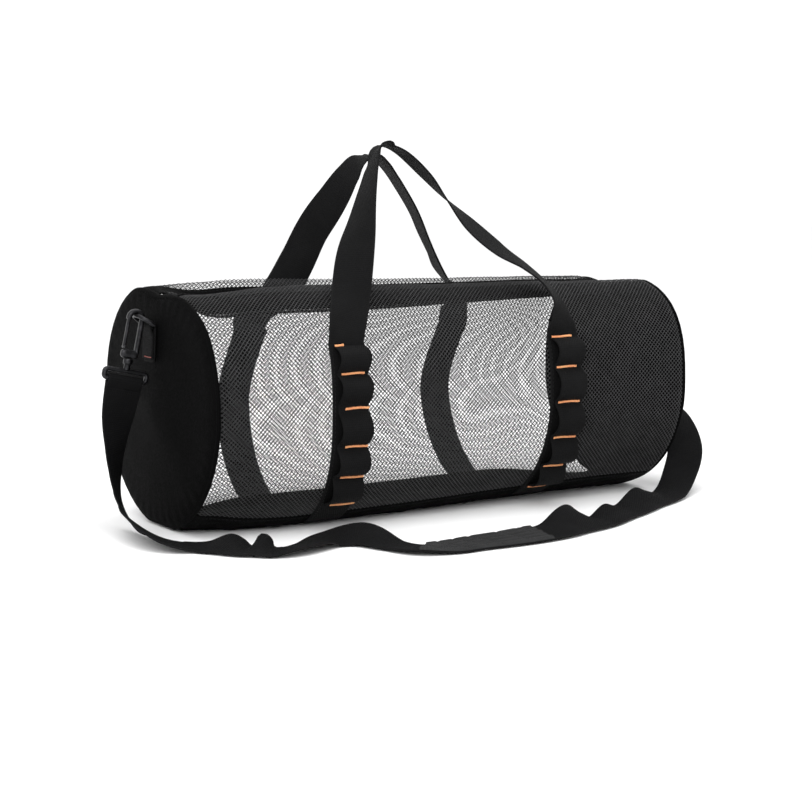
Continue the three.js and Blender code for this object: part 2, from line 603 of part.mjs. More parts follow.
function tabSolid(side) {
  const bar = ringBar(side);
  const wrap = RING_WIRE_RADIUS + CLEARANCE + layer;
  const out = new THREE.Vector3(side, 0, 0);
  const station = (x, z, face) => ({
    left: new THREE.Vector3(x, RING_Y - TAB_WIDTH / 2, z),
    right: new THREE.Vector3(x, RING_Y + TAB_WIDTH / 2, z),
    face,
  });
  const under = evenSteps(TAB_FOOT_HEIGHT, RING_BAR_HEIGHT - 4, 4)
    .map((z) => station(tabFaceX(side, z) + side * (CLEARANCE + layer), z, out));
  const round = evenSteps(180, 0, 8).map((turn) => {
    const angle = THREE.MathUtils.degToRad(turn);
    const face = new THREE.Vector3(-side * Math.cos(angle), 0, -Math.sin(angle));
    return station(bar.x + side * wrap * Math.cos(angle), bar.z + wrap * Math.sin(angle), face);
  });
  const doubled = CLEARANCE + layer + WEBBING_THICKNESS + CLEARANCE;
  const over = [RING_BAR_HEIGHT - 12, RING_BAR_HEIGHT - 20, TAB_FOOT_HEIGHT + 3]
    .map((z) => station(tabFaceX(side, z) + side * doubled, z, out.clone().negate()));
  return webbingSolid([...under, ...round, ...over], WEBBING_THICKNESS);
}

function ringSolid(side) {
  const bar = ringBar(side);
  const lift = THREE.MathUtils.degToRad(RING_LIFT_DEG);
  const reach = new THREE.Vector3(side * Math.cos(lift), 0, Math.sin(lift));
  const arc = evenSteps(0, 180, 14).map((turn) => {
    const angle = THREE.MathUtils.degToRad(turn);
    return bar.clone().add(new THREE.Vector3(0, RING_HALF_WIDTH * Math.cos(angle), 0))
      .addScaledVector(reach, RING_DEPTH * Math.sin(angle) ** 0.8);
  });
  return wireSolid(arc, RING_WIRE_RADIUS, 8, true);
}

// Where a hook hangs: the middle of its bow, just under the ring's far side
function hookMiddle(side) {
  const lift = THREE.MathUtils.degToRad(RING_LIFT_DEG);
  const reach = new THREE.Vector3(side * Math.cos(lift), 0, Math.sin(lift));
  const far = ringBar(side).addScaledVector(reach, RING_DEPTH);
  far.z -= HOOK_BOW_RADIUS - RING_WIRE_RADIUS - CLEARANCE;
  return far;
}

// Flat outline in the plane of X and Z, thickened along Y about its middle
function plateSolid(shape, thickness) {
  const settings = { depth: thickness, bevelEnabled: false, curveSegments: 10 };
  const plate = new THREE.ExtrudeGeometry(shape, settings);
  plate.translate(0, 0, -thickness / 2);
  plate.rotateX(Math.PI / 2);
  return plate;
}

const hookOuter = HOOK_BOW_RADIUS + HOOK_WALL;
const noseHeight = -2;
const hookFloor = noseHeight - HOOK_OPENING;
const hookBottom = hookFloor - HOOK_BASE;
const eyeTop = hookBottom - CLEARANCE - HOOK_POST;
const eyeOuter = { width: EYE_INSIDE.width + 2 * EYE_WALL, height: EYE_INSIDE.height + 2 * EYE_WALL };

// Adds the outline of the eye, a long loop for the strap with a post above it
function eyeShape(postTop) {
  const shape = new THREE.Shape();
  const [w, low] = [eyeOuter.width / 2, eyeTop - eyeOuter.height];
  shape.moveTo(-w, low);
  shape.lineTo(w, low);
  shape.lineTo(w, eyeTop - 2);
  shape.lineTo(HOOK_WALL, eyeTop);
  shape.lineTo(HOOK_WALL, postTop);
  shape.lineTo(-HOOK_WALL, postTop);
  shape.lineTo(-HOOK_WALL, eyeTop);
  shape.lineTo(-w, eyeTop - 2);
  shape.closePath();
  shape.holes.push(slotPath());
  return shape;
}

function slotPath() {
  const slot = new THREE.Path();
  const [w, low] = [EYE_INSIDE.width / 2, eyeTop - EYE_WALL - EYE_INSIDE.height];
  slot.moveTo(-w, low);
  slot.lineTo(-w, low + EYE_INSIDE.height);
  slot.lineTo(w, low + EYE_INSIDE.height);
  slot.lineTo(w, low);
  slot.closePath();
  return slot;
}

for (const [name, side] of [['left', -1], ['right', 1]]) {
  addPiece(`ring_tab_${name}`, tabSolid(side), BLACK_WEBBING);
  addPiece(`ring_${name}`, ringSolid(side), DARK_METAL);
}

// The left hook: a bow with its spine towards the bag, a sprung gate on the far side and a turning eye
const leftHook = hookMiddle(-1);
const bow = new THREE.Shape();
bow.moveTo(hookOuter, hookBottom);
bow.lineTo(hookOuter, hookBottom);
bow.lineTo(hookOuter, noseHeight + 2);
bow.absarc(0, 0, hookOuter, 0, Math.PI, false);
bow.lineTo(-hookOuter, noseHeight);
bow.lineTo(-HOOK_BOW_RADIUS, noseHeight);
bow.lineTo(-HOOK_BOW_RADIUS, 0);
bow.absarc(0, 0, HOOK_BOW_RADIUS, Math.PI, 0, true);
bow.lineTo(HOOK_BOW_RADIUS, hookFloor);
bow.lineTo(-hookOuter, hookFloor);
bow.lineTo(-hookOuter, hookBottom);
const leftHookGroup = new THREE.Group();
leftHookGroup.position.copy(leftHook);
leftHookGroup.rotation.y = THREE.MathUtils.degToRad(HOOK_TILT_DEG);
bag.add(leftHookGroup);

function addToHook(name, geometry) {
  const piece = new THREE.Mesh(geometry, new THREE.MeshStandardMaterial(DARK_METAL));
  piece.name = name;
  leftHookGroup.add(piece);
}
addToHook('hook_body_left', plateSolid(bow, HOOK_THICKNESS));

const gate = new THREE.Shape();
const gateSide = (hookOuter + HOOK_BOW_RADIUS) / 2;
const gateHalf = HOOK_WALL / 2 - CLEARANCE;
gate.moveTo(-gateSide + gateHalf, hookFloor + CLEARANCE + gateHalf);
gate.lineTo(-gateSide + gateHalf, noseHeight - CLEARANCE);
gate.lineTo(-gateSide - gateHalf, noseHeight - CLEARANCE);
gate.lineTo(-gateSide - gateHalf, hookFloor + CLEARANCE + gateHalf);
gate.absarc(-gateSide, hookFloor + CLEARANCE + gateHalf, gateHalf, Math.PI, 2 * Math.PI, false);
addToHook('hook_gate_left', plateSolid(gate, HOOK_THICKNESS - 1));
addToHook('hook_eye_left', plateSolid(eyeShape(hookBottom - CLEARANCE), HOOK_THICKNESS - 1));

// The right hook is out of sight, so it is one plain piece with a closed bow
const rightShape = new THREE.Shape();
const rightLow = eyeTop - eyeOuter.height;
rightShape.moveTo(-eyeOuter.width / 2, rightLow);
rightShape.lineTo(eyeOuter.width / 2, rightLow);
rightShape.lineTo(eyeOuter.width / 2, eyeTop - 2);
rightShape.lineTo(hookOuter, eyeTop);
rightShape.lineTo(hookOuter, 0);
rightShape.absarc(0, 0, hookOuter, 0, Math.PI, false);
rightShape.lineTo(-hookOuter, eyeTop);
rightShape.lineTo(-eyeOuter.width / 2, eyeTop - 2);
rightShape.closePath();
const bowHole = new THREE.Path();
bowHole.moveTo(HOOK_BOW_RADIUS, hookFloor);
bowHole.lineTo(-HOOK_BOW_RADIUS, hookFloor);
bowHole.lineTo(-HOOK_BOW_RADIUS, 0);
bowHole.absarc(0, 0, HOOK_BOW_RADIUS, Math.PI, 0, true);
bowHole.closePath();
rightShape.holes.push(bowHole, slotPath());
const rightHook = addPiece('hook_right', plateSolid(rightShape, HOOK_THICKNESS - 1), DARK_METAL);
rightHook.position.copy(hookMiddle(1));
rightHook.rotation.y = -THREE.MathUtils.degToRad(HOOK_TILT_DEG);

// Shoulder strap, and the doubled stretch of it that lies on the shoulder
const strapStations = stationsOnRoute(STRAP_ROUTE, WEBBING_WIDTH, STRAP_STEPS);
addPiece('shoulder_strap', webbingSolid(strapStations, WEBBING_THICKNESS), BLACK_WEBBING);
const padLift = -(WEBBING_THICKNESS + PAD_THICKNESS) / 2 - CLEARANCE;
const stepAtRow = (row) => Math.round(STRAP_STEPS * row / (STRAP_ROUTE.length - 1));
const padStations = stationsOnRoute(STRAP_ROUTE, WEBBING_WIDTH, STRAP_STEPS, padLift)
  .slice(stepAtRow(PAD_ROWS.first), stepAtRow(PAD_ROWS.last) + 1);
addPiece('strap_pad', webbingSolid(padStations, PAD_THICKNESS), BLACK_WEBBING);

export default bag;
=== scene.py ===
"""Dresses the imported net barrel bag: net walls, sewn webbing, a zip, snap hooks and a shoulder strap."""
import math

import bmesh
import bpy
import numpy as np
from bpy.props import FloatProperty, FloatVectorProperty, PointerProperty
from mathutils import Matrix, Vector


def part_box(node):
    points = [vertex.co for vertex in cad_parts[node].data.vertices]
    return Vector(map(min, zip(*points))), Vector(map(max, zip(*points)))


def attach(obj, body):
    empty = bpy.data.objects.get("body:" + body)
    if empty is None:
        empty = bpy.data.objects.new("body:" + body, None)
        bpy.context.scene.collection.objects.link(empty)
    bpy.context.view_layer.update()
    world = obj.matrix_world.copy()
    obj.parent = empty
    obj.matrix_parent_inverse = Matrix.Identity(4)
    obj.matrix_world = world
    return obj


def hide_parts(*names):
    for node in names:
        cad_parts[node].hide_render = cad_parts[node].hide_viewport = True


bl_info = {
    "name": "Net barrel bag",
    "version": (1, 0, 0),
    "blender": (4, 5, 0),
    "location": "View3D > Sidebar > Net bag",
    "description": "Dresses the packed net barrel bag, one operator for each group of pieces",
    "category": "Object",
}

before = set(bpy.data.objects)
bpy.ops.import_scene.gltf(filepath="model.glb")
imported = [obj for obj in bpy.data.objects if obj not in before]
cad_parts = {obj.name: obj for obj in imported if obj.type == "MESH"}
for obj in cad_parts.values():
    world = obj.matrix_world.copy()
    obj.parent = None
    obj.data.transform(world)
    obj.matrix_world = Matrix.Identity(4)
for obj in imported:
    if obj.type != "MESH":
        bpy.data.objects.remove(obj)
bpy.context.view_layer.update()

# Shapes are worked out in millimetres, and become metres when a piece is made
MM = 0.001

# The bag's form, as in the part's source
SECTION_COLUMNS = (
    "x", "width", "height", "sag", "drop", "sink", "shoulder", "belly", "front", "back", "slump")
SECTIONS = np.array((
    (-300, 264, 248, 2, 6, 4, 2.25, 1.93, 0, -12, 0),
    (-270, 267, 252, 13, 6, 4, 2.3, 1.97, 0, -10, 0),
    (-235, 267, 254, 38, 4, 6, 2.5, 2.3, 0, -7, 0.4),
    (-190, 267, 256, 40, 3, 7, 2.6, 2.5, 0, -3, 0.95),
    (-60, 265, 254, 38, 2, 7, 2.6, 2.35, 0, 0, 1),
    (80, 264, 252, 32, 1, 5, 2.6, 2.1, 0, 0, 1),
    (200, 264, 251, 27, 1, 3, 2.65, 2, 1, 0, 0.6),
    (270, 264, 248.5, 24, 0, 3, 2.8, 2, 4, 0, 0),
    (300, 262, 246, 4, 0, 3, 2.8, 2.05, 5, 0, 0),
))
CLEARANCE = 0.3
NET_THICKNESS = 1.2
BOTTOM_THICKNESS = 1.6
END_THICKNESS = 2.0
TUBE_END = 283.5
TUBE_CORNER_START = 276
TUBE_CORNER_RADIUS = 12
ZIP_PANEL_HALF_WIDTH = 36
ZIP_HALF_GAP = 5.3
ZIP_END = 282
SAG_HALF_WIDTH = 60
SAG_ROUNDING = 4
SAG_POWER = 1.15
DROP_START = 0.8
DROP_BACK = 60
DROP_FRONT = 30
SLANT_HEIGHT = 131
SLANT_DEPTH = 127
SLANT_SLOPE = 0.69
SLANT_BLEND = 18
BOTTOM_EDGE_ANGLE = 145
BOTTOM_BACK_ANGLE = 151
BOTTOM_TAPER_DEG = 12
BOTTOM_TAPER_START = 150
STRAP_FOOT_ANGLE = 153
STRAP_X = {"left": -145, "right": 121}
STRAP_HALF_WIDTH = 20
STATION_STEP = 3.0
HANDLE_LEAVE_HEIGHT = 188
PIPING_RADIUS = 1.7
RING_WIRE_RADIUS = 2.0
RING_HALF_WIDTH = 15
RING_DEPTH = 16
RING_LIFT_DEG = 35
RING_BAR_HEIGHT = 208
TAB_WIDTH = 25
TAB_FOOT_HEIGHT = 170
HOOK_TILT_DEG = 12
TACK_HEIGHTS = {"left": (188, 161, 127, 89, 58, 29), "right": (186, 155, 118, 80, 48, 23)}

# Bar tacks from the top down: middle, measured across the strap, and width
TACK_PLACES = {
    "left": ((-10, 9), (2, 25), (6, 26), (6.5, 25), (6, 26), (5, 27)),
    "right": ((-3.5, 25), (-1.5, 25), (1.5, 27), (2, 28), (0, 25), (-3.5, 23)),
}
TACK_LIFT = 0.1
LOOP_SHIFT = {"left": 2.5, "right": 1.5}

# The solid end from its seam to its middle: distance from the middle of the bag, and inset from the section
END_PROFILE = np.array(((287.6, 4.0), (289.3, 7.5), (290.4, 14), (292.6, 42), (294.6, 80), (296.0, 112)))
END_CENTRE_X = 296.5

# Free run of the handles: x, y, z and the compass heading of the webbing's width
FRONT_HANDLE = (
    (-142, -124, 206, 0), (-128, -106, 236, -14), (-111, -85, 276, -42), (-93, -66, 312, -78),
    (-76, -49, 346, -97), (-62, -36, 371, -107), (-52, -29, 385, -113), (-40, -26, 390, -110),
    (-25, -30, 384, -104), (0, -44, 358, -105), (18, -56, 333, -122), (40, -69, 306, -147),
    (67, -82, 281, -150), (95, -92, 262, -136), (114, -104, 243, -131), (121.5, -120, 222, -139),
    (121, -126, 205, -161),
)
BACK_HANDLE = (
    (-141.6, 95.2, 199, 0), (-132.6, 86, 214, -4), (-116.5, 75, 232, -17), (-97, 71, 265, -35),
    (-80, 66, 300, -48), (-65, 47, 333, -62), (-53, 31, 361, -78), (-44, 21, 376, -90),
    (-33, 18, 381, -98), (-21, 20, 376, -105), (-2, 28, 362, -108), (22, 40, 340, -108),
    (45, 53, 316, -109), (64, 63, 290, -109), (80, 66, 264, -111), (104, 83, 240, -114),
    (118, 88, 225, -141), (122, 89, 212, -167), (121, 90, 200, -178),
)

# The shoulder strap: x, y, the height of its lower edge, and the heading and rise of its width in degrees
STRAP_ROWS = (
    (-329.4, 0, 146.4, 0, -12), (-335.2, 1, 117, 14, -9), (-337, 5, 88, 36, -4), (-337.5, 7, 60, 50, -8),
    (-338, 1, 28, 58, -22), (-338, -25, 6, 44, -38), (-339, -60, 3, 22, -34), (-336, -95, 2.6, 14, -22),
    (-325, -115, 2, 30, -9), (-305, -127, 2, 46, 2), (-291, -146, 2.4, 36, 16), (-283, -157, 2, 38, 10),
    (-276, -165, 2, 44, 2), (-267, -174, 1.8, 48, 21), (-255, -183, 2.2, 58, 2), (-238, -187, 2, 90, -8),
    (-213, -178, 2, 108, -8), (-186, -168, 2.4, 92, 8), (-159, -180, 1.8, 54, 22), (-142, -214, 2, 32, 0),
    (-129, -245, 2, 56, -4), (-104, -254, 2, 80, 2), (-72, -253, 1.8, 86, 4), (-38, -254, 1.8, 88, 6),
    (-8, -253, 2, 92, 8), (22, -249, 2.4, 98, 10), (54, -242, 2, 104, 36), (83, -231, 2.4, 108, 17),
    (106, -221, 2.4, 110, 2), (143, -201, 2, 114, 14), (170, -187, 2.4, 116, 5), (210, -166, 2, 119, 24),
    (240, -150, 2.4, 122, 12), (266, -135, 4.5, 126, 0), (298, -113, 17, 133, -4), (322, -95, 46, 139, 8),
    (331, -62, 78, 152, 10), (334, -23, 100, 168, 0), (332.4, -3, 118, 178, -9), (326.1, 0, 146.4, 180, -12),
)

# The strap's pad: the rows of the strap at its ends, and its cross seams as shares of its length
PAD_ROWS = (20, 24.4)
PAD_SEAMS = (0.03, 0.21, 0.37, 0.50, 0.74, 0.93, 0.97)

# A strip beside the zip: distance from the zip's middle, and lift off the bag's surface
ZIP_STRIP = np.array((
    (ZIP_HALF_GAP, 0.0), (5.9, 0.25), (8, 0.1), (12, 0), (18, -0.2), (24, -0.2),
    (29, 0), (33, 0.1), (35.2, 0.2), (36.4, 0.35), (37.6, 0.35), (38.0, 0.1),
))

# The zip's tape: distance from the zip's middle, and how far it lies below the bag's surface
ZIP_TAPE = ((0.05, 0.4), (3.0, 0.4), (5.0, 0.9), (6.8, 1.9))

# One tooth of the zip's coil: distance across and height
ZIP_TOOTH = np.array(((-2.6, -0.5), (-0.6, 0.95), (1.6, 1.0), (2.3, 0.2), (1.4, -0.7), (-0.4, -0.8)))

# Insets from the section at which the solid ends have their rings of points
END_RINGS = np.array((
    4, 5, 6, 7.5, 9.5, 12, 15, 19, 24, 30, 37, 45, 54, 64, 75, 86, 97, 107, 115, 120.5, 123.5))

# The snap hook in its own plane: the middle of its bow is at 0, 0
HOOK_BOW = 7.0
HOOK_BOW_INSIDE = 5
HOOK_NOSE = -2.0
HOOK_FLOOR = -32.0
HOOK_BOTTOM = -41.0
HOOK_FOOT = -37.0
EYE_TOP = -52.3
EYE_BOTTOM = -64.7
EYE_HALF_WIDTH = 24.2
EYE_BAR_HALF = 1.6
GATE_PIVOT = (-7.0, -30.0)

# The gate's pin: distance along it, and radius
GATE_PIN = ((0, 0.9), (0.3, 1.3), (7.5, 1.3), (7.8, 0.9))
GATE_PIN_HALF_LENGTH = 3.9

# The hook's turning barrel and post: distance below the base, and radius
HOOK_BARREL = (
    (0.2, 3.2), (0.5, 4.4), (1.2, 4.8), (5.0, 4.8), (5.6, 4.2), (6.2, 3.4), (9.0, 3.2), (11.5, 3.4))

# The camera, fitted to the photo: place in metres, lens in millimetres, and directions in degrees
CAMERA_PLACE = (-0.9545, -1.5778, 0.3254)
CAMERA_SENSOR = 36.0
CAMERA_LENS = 74.44
CAMERA_DOWN_DEG = 6.48
CAMERA_HEADING_DEG = -31.2

# The studio: the floor's radius and depth in metres, and the lights' names, places, aims, sizes and powers
FLOOR_RADIUS = 30.0
FLOOR_LEVEL = -0.0004
WORLD_STRENGTH = 1.12
LIGHTS = (
    ("overhead", (0.0, -0.2, 2.6), (0, 0, 0), 3.0, 45),
    ("front_left", (-1.8, -2.2, 1.8), (0, 0, 0.15), 1.6, 30),
)


def unit(vectors):
    """Scales each vector to length 1."""
    return vectors / np.linalg.norm(vectors, axis=-1, keepdims=True)


def length_along(points):
    """Distance from the first point to each point of a line."""
    return np.concatenate([[0.0], np.cumsum(np.linalg.norm(np.diff(points, axis=0), axis=1))])


def smoothstep(value, low, high):
    """Rises smoothly from 0 at low to 1 at high."""
    t = np.clip((value - low) / (high - low), 0, 1)
    return t * t * (3 - 2 * t)


def read_section(column, x):
    """Reads a column of the section table at x, with a smooth curve through its rows."""
    xs, ys = SECTIONS[:, 0], SECTIONS[:, SECTION_COLUMNS.index(column)]
    before, after = np.r_[0, :len(xs) - 1], np.r_[1:len(xs), len(xs) - 1]
    slopes = (ys[after] - ys[before]) / (xs[after] - xs[before])
    x = np.clip(x, xs[0], xs[-1])
    k = np.clip(np.searchsorted(xs, x, side="right") - 1, 0, len(xs) - 2)
    span = xs[k + 1] - xs[k]
    t = (x - xs[k]) / span
    rise = ys[k + 1] - ys[k]
    m0, m1 = slopes[k] * span, slopes[k + 1] * span
    return ys[k] + m0 * t + (3 * rise - 2 * m0 - m1) * t ** 2 + (m0 + m1 - 2 * rise) * t ** 3


def side_shift(x, y):
    """How far the front or back of the bag is moved along it."""
    place = np.clip(x, -TUBE_CORNER_START, TUBE_CORNER_START)
    towards_back = y / read_section("width", place) + 0.5
    front, back = read_section("front", place), read_section("back", place)
    return front + (back - front) * towards_back


def shrink(x, y, z, inset):
    """Moves points of a section towards the section's middle by an inset."""
    middle = read_section("height", x) / 2
    keep = 1 - inset / middle
    return np.stack([x + 0 * keep, y * keep, middle + (z - middle) * keep], axis=-1)


def sag_reach(y):
    """Share of the sag at a distance from the zip: nearly 1 beside it and 0 past the crests."""
    return np.maximum(0, 1 - np.hypot(y, SAG_ROUNDING) / SAG_HALF_WIDTH)


def section_point(x, degrees):
    """Points of the bag's outer surface: degrees run from the top down the front."""
    x, degrees = np.broadcast_arrays(np.asarray(x, float), np.asarray(degrees, float))
    s, c = np.sin(np.radians(degrees)), np.cos(np.radians(degrees))
    upper = c > 0
    width, height = read_section("width", x), read_section("height", x)
    power = 2 / np.where(upper, read_section("shoulder", x), read_section("belly", x))
    y = -width / 2 * np.sign(s) * np.abs(s) ** power
    half = height / 2 + np.where(upper, 0, read_section("sink", x))
    z = height / 2 + half * np.sign(c) * np.abs(c) ** power
    beyond = y - SLANT_DEPTH + SLANT_SLOPE * (z - SLANT_HEIGHT)
    blended = np.maximum(0, np.minimum(beyond, SLANT_BLEND) + SLANT_BLEND) ** 2 / (4 * SLANT_BLEND)
    lean_in = np.maximum(0, read_section("slump", x)) * np.maximum(beyond, blended)
    front_crest = smoothstep(z, DROP_START * height, height) * smoothstep(-y, -DROP_BACK, DROP_FRONT)
    z = z - np.where(upper, read_section("drop", x) * front_crest, 0)
    sag = read_section("sag", x) * sag_reach(y) ** SAG_POWER
    z = np.maximum(0, z - np.where(upper, sag, 0))
    past = np.clip(np.abs(x) - TUBE_CORNER_START, 0, TUBE_CORNER_RADIUS)
    inset = TUBE_CORNER_RADIUS - np.sqrt(TUBE_CORNER_RADIUS ** 2 - past ** 2)
    points = shrink(x, y - lean_in, z, inset)
    points[..., 0] += side_shift(x, y)
    return points


def section_normal(x, degrees):
    """Outward normals in the plane of the section."""
    step = 0.6
    along = section_point(x, np.asarray(degrees) + step) - section_point(x, np.asarray(degrees) - step)
    return unit(np.stack([0 * along[..., 0], along[..., 2], -along[..., 1]], axis=-1))


def off_surface(x, degrees, distance):
    """Points at a distance outside the bag's surface."""
    return section_point(x, degrees) + section_normal(x, degrees) * np.asarray(distance)[..., None]


def angle_at_height(x, height):
    """Angle at which the front of the bag reaches a height."""
    degrees = np.linspace(35, 160, 800)
    return float(np.interp(-height, -section_point(x, degrees)[:, 2], degrees))


def angle_at_side(x, distance):
    """Angle at which the top of the bag is a distance from its middle line."""
    half = read_section("width", x) / 2
    return np.degrees(np.arcsin((distance / half) ** (read_section("shoulder", x) / 2)))


def low_edge(side, x):
    """Angle of the bottom panel's edge on the front (side 1) or the back, lower at the back's ends."""
    if side > 0:
        return BOTTOM_EDGE_ANGLE + 0 * np.asarray(x, float)
    return BOTTOM_BACK_ANGLE + BOTTOM_TAPER_DEG * smoothstep(np.abs(x), BOTTOM_TAPER_START, TUBE_END)


def end_face_x(side, y, z):
    """Place along X of a solid end at points on it."""
    x = side * TUBE_CORNER_START
    middle = float(read_section("height", x)) / 2
    rim = section_point(x, np.linspace(0, 360, 721)[:-1])
    bearing = np.arctan2(rim[:, 1], rim[:, 2] - middle)
    order = np.argsort(bearing)
    reach = np.interp(np.arctan2(y, z - middle), bearing[order],
                      np.hypot(rim[:, 1], rim[:, 2] - middle)[order], period=2 * math.pi)
    inset = middle * (1 - np.hypot(y, z - middle) / reach)
    rows = np.vstack([END_PROFILE, (END_CENTRE_X, middle)])
    return side * np.interp(inset, rows[:, 1], rows[:, 0]) + side_shift(x, y)


def sample(table, run, places):
    """Rows of a table, read at places along its run."""
    return np.column_stack([np.interp(places, run, column) for column in table.T])


def smooth_route(rows, step):
    """Points at even steps on a smooth curve through rows of x, y, z and further columns."""
    rows = np.asarray(rows, float)
    ends = np.vstack([2 * rows[0] - rows[1], rows, 2 * rows[-1] - rows[-2]])
    knots = np.sqrt(np.linalg.norm(np.diff(ends[:, :3], axis=0), axis=1))
    points_between_rows = 24
    t = np.linspace(0, 1, points_between_rows, endpoint=False)[:, None]
    dense = []
    for k in range(len(rows) - 1):
        p0, p1, p2, p3 = ends[k:k + 4]
        d0, d1, d2 = knots[k:k + 3]
        m1 = ((p1 - p0) / d0 - (p2 - p0) / (d0 + d1) + (p2 - p1) / d1) * d1
        m2 = ((p2 - p1) / d1 - (p3 - p1) / (d1 + d2) + (p3 - p2) / d2) * d1
        dense.append(p1 + m1 * t + (3 * (p2 - p1) - 2 * m1 - m2) * t ** 2
                     + (2 * (p1 - p2) + m1 + m2) * t ** 3)
    dense = np.vstack(dense + [rows[-1:]])
    run = length_along(dense[:, :3])
    places = np.linspace(0, run[-1], max(2, round(run[-1] / step)) + 1)
    return sample(dense, run, places)


def route_frame(line):
    """Directions across and out of webbing that follows a line of x, y, z, heading and rise."""
    along = unit(np.gradient(line[:, :3], axis=0))
    heading, rise = np.radians(line[:, 3]), np.radians(line[:, 4])
    across = np.column_stack([np.cos(heading), np.sin(heading), np.tan(rise)])
    across = unit(across - along * np.sum(across * along, axis=1, keepdims=True))
    return across, np.cross(across, along)


def strap_line(step):
    """The shoulder strap's middle line with the heading and rise of its width."""
    rows = np.array(STRAP_ROWS, float)
    rows[:, 2] += STRAP_HALF_WIDTH * np.abs(np.sin(np.radians(rows[:, 4])))
    return smooth_route(rows, step)


def weave_grid(along, across):
    """Weave coordinates over a grid, from its places along and across."""
    return np.stack(np.broadcast_arrays(along, across), axis=-1)


def soft_noise(seed, waves, *coordinates):
    """Smooth wandering values from -1 to 1 over coordinates in millimetres, the same on each run."""
    random = np.random.default_rng(seed)
    total = 0
    for wavelength in waves:
        turn = random.uniform(0, 2 * math.pi, len(coordinates) + 1)
        tilt = random.uniform(0.6, 1.4, len(coordinates))
        phase = sum(c * k * math.cos(a) for c, k, a in zip(coordinates, tilt, turn))
        total = total + np.sin(2 * math.pi * phase / wavelength + turn[-1])
    return total / len(waves)


class Shape:
    """Points in millimetres with weave coordinates and faces, gathered for one mesh."""

    def __init__(self):
        self.points, self.weave, self.faces, self.count = [], [], [], 0

    def add(self, points, weave, faces):
        """Adds points with their weave coordinates, and faces that number these points from 0."""
        points = np.asarray(points, float).reshape(-1, 3)
        self.points.append(points)
        self.weave.append(np.asarray(weave, float).reshape(-1, 2))
        self.faces.extend([[index + self.count for index in face] for face in faces])
        self.count += len(points)

    def grid(self, points, weave, loop_rows=False, loop_columns=False, caps=False):
        """Quads over rows and columns of points; loops join the last row or column to the first."""
        rows, columns = points.shape[:2]
        index = np.arange(rows * columns).reshape(rows, columns)
        if loop_rows:
            index = np.vstack([index, index[:1]])
        if loop_columns:
            index = np.hstack([index, index[:, :1]])
        quads = np.stack([index[:-1, :-1], index[:-1, 1:], index[1:, 1:], index[1:, :-1]], axis=-1)
        faces = quads.reshape(-1, 4).tolist()
        if caps:
            faces.append(index[0, :columns][::-1].tolist())
            faces.append(index[rows - 1, :columns].tolist())
        self.add(points, weave, faces)

    def shell(self, outer, inner, weave):
        """A wall between two grids of points, closed round its rim."""
        rim = [np.s_[0, :], np.s_[:, -1], np.s_[-1, ::-1], np.s_[::-1, 0]]
        self.grid(outer, weave)
        self.grid(inner, weave)
        edge = np.stack([np.concatenate([layer[part] for part in rim]) for layer in (outer, inner)], axis=1)
        edge_weave = np.concatenate([weave[part] for part in rim])
        self.grid(edge, np.stack([edge_weave, edge_weave], axis=1), loop_rows=True)


def make_piece(name, shape, material, body="bag", replaces=(), sharp_deg=50):
    """Makes a mesh object of a shape, on a body and with a finish."""
    mesh = bpy.data.meshes.new(name)
    mesh.from_pydata((np.concatenate(shape.points) * MM).tolist(), [], shape.faces)
    work = bmesh.new()
    work.from_mesh(mesh)
    bmesh.ops.recalc_face_normals(work, faces=work.faces)
    work.to_mesh(mesh)
    work.free()
    weave = np.concatenate(shape.weave)
    corners = np.empty(len(mesh.loops), dtype=np.int32)
    mesh.loops.foreach_get("vertex_index", corners)
    mesh.uv_layers.new(name="weave").data.foreach_set("uv", weave[corners].ravel())
    mesh.polygons.foreach_set("use_smooth", np.ones(len(mesh.polygons), dtype=bool))
    mesh.set_sharp_from_angle(angle=math.radians(sharp_deg))
    mesh.materials.append(material)
    piece = bpy.data.objects.new(name, mesh)
    bpy.context.scene.collection.objects.link(piece)
    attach(piece, body)
    if replaces:
        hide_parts(*replaces)
    return piece


def webbing_profile(width, thickness):
    """Outline of woven webbing across its width: slim round edges and a selvage a little thicker."""
    # Rows from an edge inward: distance in millimetres, and share of half the thickness
    side = np.array([(0.0, 0.0), (0.25, 0.7), (0.9, 1.0), (3.0, 0.97)])
    left = np.column_stack([-width / 2 + side[:, 0], side[:, 1] * thickness / 2])
    middle = np.array([(-width / 4, 0.93), (0, 0.92), (width / 4, 0.93)]) * (1, thickness / 2)
    right = left[::-1] * (-1, 1)
    top = np.vstack([left, middle, right])
    return np.vstack([top, top[-2:0:-1] * (1, -1)])


def add_webbing(shape, middle, across, face, width, thickness):
    """Adds webbing along a line of middle points, with its length in the weave coordinates."""
    profile = webbing_profile(width, thickness)
    rings = (middle[:, None] + profile[None, :, :1] * across[:, None] + profile[None, :, 1:] * face[:, None])
    run = length_along(middle)
    weave = weave_grid(run[:, None], profile[None, :, 0])
    shape.grid(rings, weave, loop_columns=True, caps=True)


